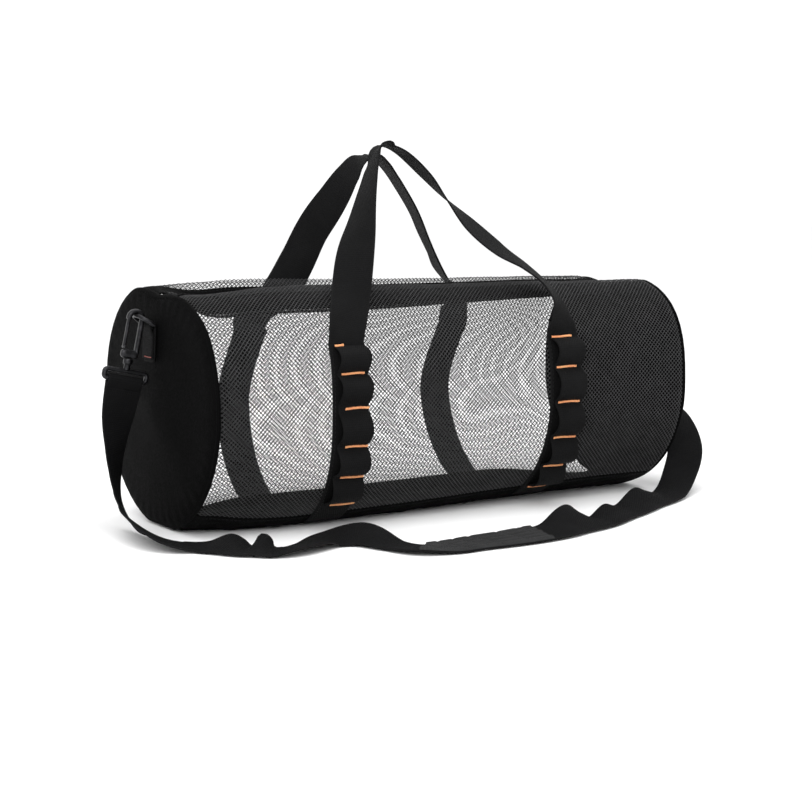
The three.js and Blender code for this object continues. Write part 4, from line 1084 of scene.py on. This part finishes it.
class NETBAG_OT_make_ends(bpy.types.Operator):
    """Makes the solid domed ends and the piping in their seams"""

    bl_idname = "netbag.make_ends"
    bl_label = "Ends and piping"

    def execute(self, context):
        for name, side in (("left", -1), ("right", 1)):
            self.make_end(name, side)
            self.make_piping(name, side)
        return {"FINISHED"}

    def make_end(self, name, side):
        """The solid end: gathered at its seam, and softly dented except where the ring tab is sewn on."""
        degrees = np.linspace(0, 360, 181)[:-1]
        corner = side * TUBE_CORNER_START
        rim = section_point(corner, degrees)
        middle = float(read_section("height", corner)) / 2
        rows = np.vstack([END_PROFILE, (END_CENTRE_X, middle)])
        smooth = np.interp(END_RINGS, rows[:, 1], rows[:, 0])
        run = length_along(rim)
        puckers, pucker_depth, dent_depth, tab_height = 46, 0.45, 1.1, 190
        pucker = np.sin(run / run[-1] * 2 * math.pi * puckers + 1.5 * np.sin(run / 90))
        layers = []
        for deeper in (0.0, END_THICKNESS):
            rings = []
            for x, depth in zip(smooth, END_RINGS):
                inset = depth + deeper * (depth < 12)
                place = shrink(np.full(len(degrees), corner), rim[:, 1], rim[:, 2], inset)
                rise, fall = np.clip((depth - 5) / 4, 0, 1), math.exp(-max(0, depth - 9) / 11)
                fold = pucker_depth * pucker * rise * fall
                dent = dent_depth * soft_noise(11 + side, (150, 95, 60), place[:, 1], place[:, 2])
                dent = (dent - 0.8) * np.clip((depth - 12) / 30, 0, 1)
                near_tab = np.exp(-(place[:, 1] / 26) ** 2 - ((place[:, 2] - tab_height) / 34) ** 2)
                relief = fold + dent * (1 - near_tab)
                place[:, 0] = side * (x - deeper * (depth > 6) + relief) + side_shift(corner, place[:, 1])
                rings.append(place)
            layers.append(np.array(rings))
        shape = Shape()
        for rings in layers:
            weave = rings[..., 1:].copy()
            shape.grid(rings, weave, loop_columns=True)
            shape.add(rings[-1], rings[-1][:, 1:], [list(range(len(degrees)))])
        edge = np.stack([layers[0][0], layers[1][0]])
        shape.grid(edge, edge[..., 1:], loop_columns=True)
        make_piece(f"end_cloth_{name}", shape, finish("panel_cloth"), replaces=(f"end_{name}",))

    def make_piping(self, name, side):
        """The bead in the seam, lifted and thickened where the zip end bends up to it."""
        degrees = np.linspace(0, 360, 241)[:-1]
        corner = side * TUBE_CORNER_START
        rim = section_point(corner, degrees)
        middle = shrink(np.full(len(degrees), float(corner)), rim[:, 1], rim[:, 2], END_PROFILE[0, 1])
        middle[:, 0] = side * (TUBE_END + END_PROFILE[0, 0]) / 2 + side_shift(corner, middle[:, 1])
        rise = read_section("sag", corner) - read_section("sag", side * TUBE_END)
        lift_share, cloth_cover, unevenness = 0.35, 0.6, 0.12
        lift = np.where(np.cos(np.radians(degrees)) > 0, lift_share * rise * sag_reach(rim[:, 1]), 0)
        middle[:, 2] += lift
        out = section_normal(corner, degrees)
        shape = Shape()
        uneven = unevenness * soft_noise(21, (31, 17), length_along(middle))
        radius = PIPING_RADIUS + cloth_cover + lift + uneven
        add_bar(shape, middle, out, radius, radius, sides=10, square=2.0, loop=True)
        make_piece(f"piping_bead_{name}", shape, finish("panel_cloth"),
                   replaces=(f"piping_{name}",))


class NETBAG_OT_make_zip(bpy.types.Operator):
    """Makes the zip's tape, coil, slider and pull"""

    bl_idname = "netbag.make_zip"
    bl_label = "Zip"

    def execute(self, context):
        sizes = context.scene.net_bag_sizes
        pitch = sizes.coil_pitch / MM
        xs = np.linspace(-TUBE_END, TUBE_END, 160)
        level = section_point(xs, 0)[:, 2]
        self.make_tape(xs, level)
        teeth = Shape()
        end_gap, coil_lift, half_turn, wire_radius = 2, 0.6, 0.3, 0.42
        places = np.arange(-ZIP_END + end_gap, ZIP_END - end_gap, pitch)
        heights = np.interp(places, xs, level) + coil_lift
        for k, (x, z) in enumerate(zip(places, heights)):
            side = 1 if k % 2 == 0 else -1
            turn = np.linspace(x - pitch * half_turn, x + pitch * half_turn, len(ZIP_TOOTH))
            points = np.column_stack([turn, -side * ZIP_TOOTH[:, 0], z + ZIP_TOOTH[:, 1]])
            add_bar(teeth, points, (1.0, 0, 0), wire_radius, wire_radius, sides=5, square=2.0)
        make_piece("zip_teeth", teeth, finish("zip_nylon"), replaces=("zip_coil",))
        self.make_slider()
        return {"FINISHED"}

    def make_tape(self, xs, level):
        """The tape under the coil, which meets in the middle, and a stop across each end."""
        shape = Shape()
        tape_thickness = 0.8
        for side in (-1, 1):
            across = side * np.array(ZIP_TAPE)[:, 0]
            outer = np.stack([np.column_stack([xs, np.full(len(xs), y), level - low])
                              for y, (_, low) in zip(across, ZIP_TAPE)], 1)
            weave = weave_grid(xs[:, None], across[None])
            shape.shell(outer, outer - (0, 0, tape_thickness), weave)
        across = np.array([-5.6, 0, 5.6])
        stop_lift, stop_thickness = 0.5, 0.9
        for side in (-1, 1):
            ends = side * np.linspace(ZIP_END - 1, TUBE_END + 2, 4)
            heights = np.interp(ends, xs, level) + stop_lift
            outer = np.stack([np.column_stack([ends, np.full(len(ends), y), heights]) for y in across], 1)
            weave = weave_grid(ends[:, None], across[None])
            shape.shell(outer, outer - (0, 0, stop_thickness), weave)
        make_piece("zip_tape", shape, finish("panel_cloth"))

    def make_slider(self):
        """The slider with its bridge, and the pull that lies along the coil."""
        low, high = (np.array(corner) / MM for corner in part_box("zip_slider"))
        floor, ceiling = low[2], high[2]
        shape = Shape()
        count, plate_half = 12, 0.9
        length = np.linspace(low[0], high[0], count)
        swell = np.interp(np.linspace(0, 1, count), [0, 0.08, 0.5, 0.92, 1], [0.78, 0.95, 1.0, 0.86, 0.66])
        body = np.column_stack([length, 0 * length, np.full(count, floor + plate_half)])
        add_bar(shape, body, (0, 0, 1.0), swell * (high[1] - low[1]) / 2, plate_half, sides=16, square=4)
        bridge_foot, bridge_drop, bridge_half, bridge_half_width = 1.6, 1.4, 0.6, 1.4
        arch = np.linspace(0.12, 0.88, 14)
        rise = floor + bridge_foot + (ceiling - floor - bridge_drop) * np.sin(math.pi * arch) ** 0.5
        bridge = np.column_stack([low[0] + (high[0] - low[0]) * arch, 0 * arch, rise])
        add_bar(shape, bridge, (0, 1.0, 0), bridge_half, bridge_half_width, sides=10)
        make_piece("zip_slider_body", shape, finish("dark_metal"), replaces=("zip_slider",))
        low, high = (np.array(corner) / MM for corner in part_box("zip_pull"))
        pull = Shape()
        half, z = (high[1] - low[1]) / 2, (low[2] + high[2]) / 2
        count, rim_half_width, rim_half = 40, 1.2, 0.8
        turn = np.linspace(0, 2 * math.pi, count, endpoint=False)
        c, s = np.cos(turn), np.sin(turn)
        reach = (high[0] - low[0] - 2 * rim_half_width) / 2
        x = (low[0] + high[0]) / 2 + reach * np.sign(c) * np.abs(c) ** 0.35
        y = (half - rim_half_width) * np.sign(s) * np.abs(s) ** 0.5
        rim = np.column_stack([x, y, np.full(count, z)])
        add_bar(pull, rim, (0, 0, 1.0), rim_half_width, rim_half, sides=8, loop=True)
        plate_start, plate_end, plate_inset, plate_half = 1.5, 9, 1.4, 0.5
        plate = np.linspace(low[0] + plate_start, high[0] - plate_end, 8)
        add_bar(pull, np.column_stack([plate, 0 * plate, 0 * plate + z]), (0, 0, 1.0),
                half - plate_inset, plate_half, sides=12, square=5)
        make_piece("zip_pull_tab", pull, finish("dark_metal"), replaces=("zip_pull",))


def wall_rows(x, side, heading, offset, width):
    """Rows of webbing on a wall from its foot to where it leaves the wall."""
    count = 15
    top = angle_at_height(x, HANDLE_LEAVE_HEIGHT)
    degrees = side * np.linspace(STRAP_FOOT_ANGLE, top, count)
    edges = [off_surface(x + shift, degrees, np.full(count, offset)) for shift in (-width / 2, width / 2)]
    middle = (edges[0] + edges[1]) / 2
    return np.column_stack([middle, np.full(count, heading), np.zeros(count)])


class NETBAG_OT_make_handles(bpy.types.Operator):
    """Makes the two carrying handles, each one webbing up one strap, over in an arch and down the other"""

    bl_idname = "netbag.make_handles"
    bl_label = "Handles"

    def execute(self, context):
        sizes = context.scene.net_bag_sizes
        width, thickness = sizes.webbing_width / MM, sizes.webbing_thickness / MM
        for name, side, arch in (("front", 1, FRONT_HANDLE), ("back", -1, BACK_HANDLE)):
            offset = CLEARANCE + thickness / 2
            free = np.column_stack([np.array(arch, float), np.zeros(len(arch))])
            rows = np.vstack([wall_rows(STRAP_X["left"], side, 0, offset, width), free,
                              wall_rows(STRAP_X["right"], side, -180, offset, width)[::-1]])
            line = smooth_route(rows, STATION_STEP)
            across, face = route_frame(line)
            shape = Shape()
            add_webbing(shape, line[:, :3], across, face, width, thickness)
            make_piece(f"handle_webbing_{name}", shape, finish("handle_weave"),
                       replaces=(f"handle_{name}",))
        return {"FINISHED"}


def loop_line(name, sizes):
    """Middle line of a row of loops, and the places of its tacks along it."""
    x, heights = STRAP_X[name], TACK_HEIGHTS[name]
    thickness = sizes.webbing_thickness / MM
    base = CLEARANCE + thickness / 2 + thickness + CLEARANCE
    tacks = [angle_at_height(x, height) for height in heights]
    bulges = [sizes.loop_bulge / MM] * (len(tacks) - 2) + [sizes.low_loop_bulge / MM]
    count, flat_share, free_share, fullness = 30, 0.06, 0.88, 0.85
    degrees, offsets = [], []
    for first, last, bulge in zip(tacks, tacks[1:], bulges):
        share = np.linspace(0, 1, count, endpoint=False)
        held = np.clip((share - flat_share) / free_share, 0, 1)
        degrees.append(first + (last - first) * share)
        offsets.append(base + bulge * np.sin(math.pi * held) ** fullness)
    degrees = np.append(np.concatenate(degrees), tacks[-1])
    offsets = np.append(np.concatenate(offsets), base)
    half = sizes.webbing_width / MM / 2
    points = (off_surface(x - half, degrees, offsets) + off_surface(x + half, degrees, offsets)) / 2
    normals = section_normal(x, degrees)
    return points, normals, np.arange(len(heights)) * count


class NETBAG_OT_make_loops(bpy.types.Operator):
    """Makes the rows of loops on the front straps and the bar tacks that hold them"""

    bl_idname = "netbag.make_loops"
    bl_label = "Loops and tacks"

    def execute(self, context):
        sizes = context.scene.net_bag_sizes
        thickness = sizes.webbing_thickness / MM
        across = np.array([1.0, 0, 0])
        for name in STRAP_X:
            points, normals, tacks = loop_line(name, sizes)
            shape = Shape()
            along = unit(np.gradient(points, axis=0))
            sideways = np.tile(across, (len(points), 1))
            face = unit(np.cross(along, sideways))
            points = points + LOOP_SHIFT[name] * across
            add_webbing(shape, points, sideways, face, sizes.loop_width / MM, thickness)
            make_piece(f"loops_webbing_{name}", shape, finish("handle_weave"),
                       replaces=(f"loops_{name}",))
            thread = Shape()
            for k, at in enumerate(tacks):
                place, width = TACK_PLACES[name][k]
                top = points[at] + normals[at] * (thickness / 2 + TACK_LIFT)
                top = top + (place - LOOP_SHIFT[name]) * across
                add_tack(thread, top, across, normals[at], width, sizes.tack_height / MM, seed=100 + k)
            make_piece(f"tacks_{name}", thread, finish("orange_thread"))
        return {"FINISHED"}


def add_tack(shape, middle, across, out, width, height, seed):
    """Adds a bar tack: a dense row of upright stitches that wanders a little."""
    random = np.random.default_rng(seed)
    stitch_pitch, thread_width, lean = 1.05, 1.15, 0.35
    up = unit(np.cross(out, across))
    count = max(4, round(width / stitch_pitch))
    places = np.linspace(-width / 2, width / 2, count)
    wander = 0.35 * np.sin(places / 5.5 + seed) + random.uniform(-0.12, 0.12, count)
    slant = random.uniform(-0.25, 0.25, count)
    starts = middle + places[:, None] * across + (wander - height / 2)[:, None] * up
    ends = middle + (places + slant + lean)[:, None] * across + (wander + height / 2)[:, None] * up
    add_stitches(shape, starts, ends, np.tile(out, (count, 1)), thread_width)


class NETBAG_OT_make_tabs(bpy.types.Operator):
    """Makes the webbing tabs on the ends and the D-rings in them"""

    bl_idname = "netbag.make_tabs"
    bl_label = "Ring tabs and rings"

    def execute(self, context):
        sizes = context.scene.net_bag_sizes
        thickness = sizes.webbing_thickness / MM
        layer = thickness / 2
        count, under_gap, over_gap, foot_gap, step = 8, 4, 12, 3, 1.5
        for name, side in (("left", -1), ("right", 1)):
            bar = ring_bar(side)
            wrap = RING_WIRE_RADIUS + CLEARANCE + layer
            under = [(tab_face_x(side, z) + side * (CLEARANCE + layer), z)
                     for z in np.linspace(TAB_FOOT_HEIGHT, RING_BAR_HEIGHT - under_gap, count)]
            round_bar = [(bar[0] + side * wrap * math.cos(a), bar[2] + wrap * math.sin(a))
                         for a in np.radians(np.linspace(180, 0, 15))]
            doubled = CLEARANCE + layer + thickness + CLEARANCE
            over = [(tab_face_x(side, z) + side * doubled, z)
                    for z in np.linspace(RING_BAR_HEIGHT - over_gap, TAB_FOOT_HEIGHT + foot_gap, count)]
            flat = np.array(under + round_bar + over)
            rows = np.column_stack([flat[:, 0], np.zeros(len(flat)), flat[:, 1]])
            line = smooth_route(rows, step)
            along = unit(np.gradient(line, axis=0))
            across = np.tile((0, 1.0, 0), (len(line), 1))
            shape = Shape()
            add_webbing(shape, line, across, np.cross(across, along), TAB_WIDTH, thickness)
            make_piece(f"tab_webbing_{name}", shape, finish("handle_weave"),
                       replaces=(f"ring_tab_{name}",))
            self.make_ring(name, side, bar)
            self.make_tab_tack(name, side, doubled + layer, sizes)
        return {"FINISHED"}

    def make_ring(self, name, side, bar):
        """The D-ring: a round arc and a straight bar inside the tab."""
        lift = math.radians(RING_LIFT_DEG)
        reach = np.array([side * math.cos(lift), 0, math.sin(lift)])
        turn = np.radians(np.linspace(0, 180, 49))
        arc = bar + np.stack([0 * turn, RING_HALF_WIDTH * np.cos(turn), 0 * turn], axis=1)
        arc = arc + (RING_DEPTH * np.sin(turn) ** 0.8)[:, None] * reach
        count, bar_half = 15, 13
        bar_places = np.linspace(-bar_half, bar_half, count)
        straight = bar + np.stack([np.zeros(count), bar_places, np.zeros(count)], axis=1)
        points = np.vstack([arc, straight])
        normal = np.cross(reach, (0, 1.0, 0))
        shape = Shape()
        add_bar(shape, points, normal, RING_WIRE_RADIUS, RING_WIRE_RADIUS, sides=14, square=2.0, loop=True)
        make_piece(f"ring_wire_{name}", shape, finish("dark_metal"), replaces=(f"ring_{name}",))

    def make_tab_tack(self, name, side, stand, sizes):
        """The bar of stitches near the tab's foot, in a darkened orange thread that paints the shade there.
        """
        thread = Shape()
        above_foot, towards_front, width, height_share = 5.5, -3.5, 16, 0.4
        z = TAB_FOOT_HEIGHT + above_foot
        middle = np.array([tab_face_x(side, z) + side * (stand + TACK_LIFT), towards_front, z])
        out = np.array([float(side), 0, 0])
        height = sizes.tack_height / MM * height_share
        add_tack(thread, middle, np.array([0, 1.0, 0]), out, width, height, seed=140)
        make_piece(f"tab_tack_{name}", thread, finish("tab_thread"))


class NETBAG_OT_make_hooks(bpy.types.Operator):
    """Makes the snap hooks: bow, gate, swivel and eye on the left, and a plain closed one on the right"""

    bl_idname = "netbag.make_hooks"
    bl_label = "Hooks"

    def execute(self, context):
        self.make_left()
        self.make_right()
        return {"FINISHED"}

    def placed(self, side, rows):
        """World points of rows of x and z in a hook's plane."""
        rows = np.asarray(rows, float)
        return hook_place(side, np.column_stack([rows[:, 0], 0 * rows[:, 0], rows[:, 1]]))

    def bow_rows(self, nose_end):
        """The bow from the base up the spine, round the top and down to the end of its nose."""
        turn = np.linspace(0, math.pi, 22)
        spine = [(HOOK_BOW, z) for z in np.linspace(HOOK_FOOT, -2, 12)]
        over = list(zip(HOOK_BOW * np.cos(turn), HOOK_BOW * np.sin(turn)))
        nose = [(-HOOK_BOW, z) for z in np.linspace(-0.5, nose_end, 6)]
        return np.array(spine + over + nose)

    def add_base(self, shape, side):
        """The block that the bow stands on."""
        count, half_width, half_height, half_depth = 14, 8.8, 4.4, 3.6
        level = (HOOK_FLOOR + HOOK_BOTTOM) / 2
        base = self.placed(side, [(x, level) for x in np.linspace(-half_width, half_width, count)])
        swell = np.interp(np.linspace(-1, 1, count), [-1, -0.8, 0.8, 1], [0.62, 1, 1, 0.62])
        add_bar(shape, base, (0, 1.0, 0), swell * half_height, swell * half_depth, sides=16, square=3.2)

    def add_swivel(self, shape, side):
        """The turning barrel under the base, and the eye that holds the strap."""
        down, sideways = -hook_direction(side, (0, 0, 1)), np.array([0, 1.0, 0])
        add_lathe(shape, hook_place(side, (0, 0, HOOK_BOTTOM)), down, sideways, HOOK_BARREL)
        half, corner = EYE_HALF_WIDTH - EYE_BAR_HALF, 3.4
        high, low = EYE_TOP - EYE_BAR_HALF, EYE_BOTTOM + EYE_BAR_HALF
        rows = []
        for cx, cz, start in ((half - corner, high - corner, 0), (corner - half, high - corner, 90),
                              (corner - half, low + corner, 180), (half - corner, low + corner, 270)):
            rows += [(cx + corner * math.cos(a), cz + corner * math.sin(a))
                     for a in np.radians(np.linspace(start, start + 90, 9))]
        wire_half, wire_half_depth = 2.3, 2.9
        add_bar(shape, self.placed(side, rows), (0, 1.0, 0), wire_half, wire_half_depth, sides=12, loop=True)

    def make_left(self):
        """The hook that shows: bow and base, the gate on its pin, and the swivel with its eye."""
        body = Shape()
        rows = self.bow_rows(HOOK_NOSE)
        bow_half, nose_halves, bow_half_depth = 2.5, (2.2, 1.5), 3.4
        across = np.full(len(rows), bow_half)
        across[-2:] = nose_halves
        add_bar(body, self.placed(-1, rows), (0, 1.0, 0), across, bow_half_depth, sides=14, square=2.8)
        self.add_base(body, -1)
        pin = hook_place(-1, (GATE_PIVOT[0], 0, GATE_PIVOT[1]))
        add_lathe(body, pin - (0, GATE_PIN_HALF_LENGTH, 0), np.array([0, 1.0, 0]), np.array([1.0, 0, 0]),
                  GATE_PIN, sides=14)
        make_piece("hook_bow_left", body, finish("dark_metal"), replaces=("hook_body_left",))
        gate = Shape()
        count, foot_length, gate_half_depth = 16, 1.4, 2.4
        heights = np.linspace(GATE_PIVOT[1] - foot_length, HOOK_NOSE - CLEARANCE, count)
        leaf = self.placed(-1, [(-HOOK_BOW, z) for z in heights])
        swell = np.interp(np.linspace(0, 1, count), [0, 0.08, 0.55, 0.75, 1], [1.0, 1.65, 1.45, 1.65, 1.5])
        add_bar(gate, leaf, (0, 1.0, 0), swell, gate_half_depth, sides=12, square=3)
        make_piece("hook_gate_leaf", gate, finish("dark_metal"), body="gate",
                   replaces=("hook_gate_left",))
        eye = Shape()
        self.add_swivel(eye, -1)
        make_piece("hook_swivel_left", eye, finish("dark_metal"), replaces=("hook_eye_left",))

    def make_right(self):
        """The plain closed hook at the hidden end."""
        shape = Shape()
        rows = self.bow_rows(HOOK_FOOT)
        bow_half, bow_half_depth = 2.0, 2.5
        add_bar(shape, self.placed(1, rows), (0, 1.0, 0), bow_half, bow_half_depth, sides=12)
        self.add_base(shape, 1)
        self.add_swivel(shape, 1)
        make_piece("hook_plain_right", shape, finish("dark_metal"), replaces=("hook_right",))


class NETBAG_OT_make_seams(bpy.types.Operator):
    """Makes the black stitches along the straps, the zip strips and the hems of the bottom panel"""

    bl_idname = "netbag.make_seams"
    bl_label = "Seams"

    def execute(self, context):
        sizes = context.scene.net_bag_sizes
        width, thickness = sizes.webbing_width / MM, sizes.webbing_thickness / MM
        shape = Shape()
        edge_inset, count, seam_lift = 2.5, 60, 0.05
        for side in (1, -1):
            for x in STRAP_X.values():
                top = angle_at_height(x, HANDLE_LEAVE_HEIGHT - 2)
                degrees = side * np.linspace(STRAP_FOOT_ANGLE - 1, top, count)
                for place in (x + (-width / 2 + edge_inset), x + (width / 2 - edge_inset)):
                    stand = np.full(count, CLEARANCE + thickness + seam_lift)
                    self.sew(shape, place, degrees, stand, sizes)
        make_piece("strap_seams", shape, finish("black_thread"))
        panels = Shape()
        end_gap, count, seam_lift, hem_inset_deg = 4, 200, 0.35, 1.0
        xs = np.linspace(-TUBE_END + end_gap, TUBE_END - end_gap, count)
        for side in (1, -1):
            rows = [angle_at_side(xs, distance) for distance in (8.5, 33.6)]
            for degrees in rows + [low_edge(side, xs) + hem_inset_deg]:
                self.sew(panels, xs, side * degrees, np.full(count, seam_lift), sizes)
        make_piece("panel_seams", panels, finish("black_thread"))
        return {"FINISHED"}

    def sew(self, shape, x, degrees, lift, sizes):
        """Adds a seam along a line on the bag's surface."""
        add_seam(shape, off_surface(x, degrees, lift), section_normal(x, degrees), sizes)


class NETBAG_OT_make_stage(bpy.types.Operator):
    """Makes the pale floor and the soft studio light"""

    bl_idname = "netbag.make_stage"
    bl_label = "Floor and light"

    def execute(self, context):
        sides = 96
        turn = np.linspace(0, 2 * math.pi, sides, endpoint=False)
        mesh = bpy.data.meshes.new("floor")
        points = np.column_stack(
            [FLOOR_RADIUS * np.cos(turn), FLOOR_RADIUS * np.sin(turn), np.full(sides, FLOOR_LEVEL)])
        mesh.from_pydata(points.tolist(), [], [list(range(sides))])
        floor = bpy.data.objects.new("floor", mesh)
        context.scene.collection.objects.link(floor)
        mesh.materials.append(finish("floor_paper"))
        world = bpy.data.worlds.new("studio")
        world.use_nodes = True
        background = world.node_tree.nodes["Background"]
        background.inputs["Color"].default_value = (1.0, 1.0, 1.0, 1.0)
        background.inputs["Strength"].default_value = WORLD_STRENGTH
        context.scene.world = world
        context.scene.view_settings.view_transform = "Standard"
        for light in LIGHTS:
            self.add_light(*light)
        return {"FINISHED"}

    def add_light(self, name, place, aim, size, power):
        """Adds a round lamp that faces a point."""
        light = bpy.data.lights.new(name, "AREA")
        light.shape = "DISK"
        light.size = size
        light.energy = power
        lamp = bpy.data.objects.new(name, light)
        bpy.context.scene.collection.objects.link(lamp)
        lamp.location = place
        direction = np.array(aim, float) - np.array(place, float)
        lamp.rotation_euler = (math.acos(-direction[2] / np.linalg.norm(direction)), 0.0,
                               math.atan2(direction[1], direction[0]) - math.pi / 2)


class NETBAG_PT_sidebar(bpy.types.Panel):
    """Lists the steps that dress the bag, and its sizes and colours"""

    bl_idname = "NETBAG_PT_sidebar"
    bl_label = "Net bag"
    bl_space_type = "VIEW_3D"
    bl_region_type = "UI"
    bl_category = "Net bag"

    def draw(self, context):
        for step in STEPS:
            self.layout.operator(step.bl_idname)
        for group in (context.scene.net_bag_sizes, context.scene.net_bag_colours):
            for key in group.__annotations__:
                self.layout.prop(group, key)


STEPS = (
    NETBAG_OT_make_camera, NETBAG_OT_make_strap, NETBAG_OT_make_nets, NETBAG_OT_make_panels,
    NETBAG_OT_make_ends, NETBAG_OT_make_zip, NETBAG_OT_make_handles, NETBAG_OT_make_loops,
    NETBAG_OT_make_tabs, NETBAG_OT_make_hooks, NETBAG_OT_make_seams, NETBAG_OT_make_stage,
)
CLASSES = (NetBagSizes, NetBagColours) + STEPS + (NETBAG_PT_sidebar,)


def register():
    for cls in CLASSES:
        bpy.utils.register_class(cls)
    bpy.types.Scene.net_bag_sizes = PointerProperty(type=NetBagSizes)
    bpy.types.Scene.net_bag_colours = PointerProperty(type=NetBagColours)


def unregister():
    del bpy.types.Scene.net_bag_colours
    del bpy.types.Scene.net_bag_sizes
    for cls in reversed(CLASSES):
        bpy.utils.unregister_class(cls)


def main():
    register()
    bpy.ops.netbag.make_camera()
    bpy.ops.netbag.make_strap()
    bpy.ops.netbag.make_nets()
    bpy.ops.netbag.make_panels()
    bpy.ops.netbag.make_ends()
    bpy.ops.netbag.make_zip()
    bpy.ops.netbag.make_handles()
    bpy.ops.netbag.make_loops()
    bpy.ops.netbag.make_tabs()
    bpy.ops.netbag.make_hooks()
    bpy.ops.netbag.make_seams()
    bpy.ops.netbag.make_stage()


if __name__ == "__main__":
    main()
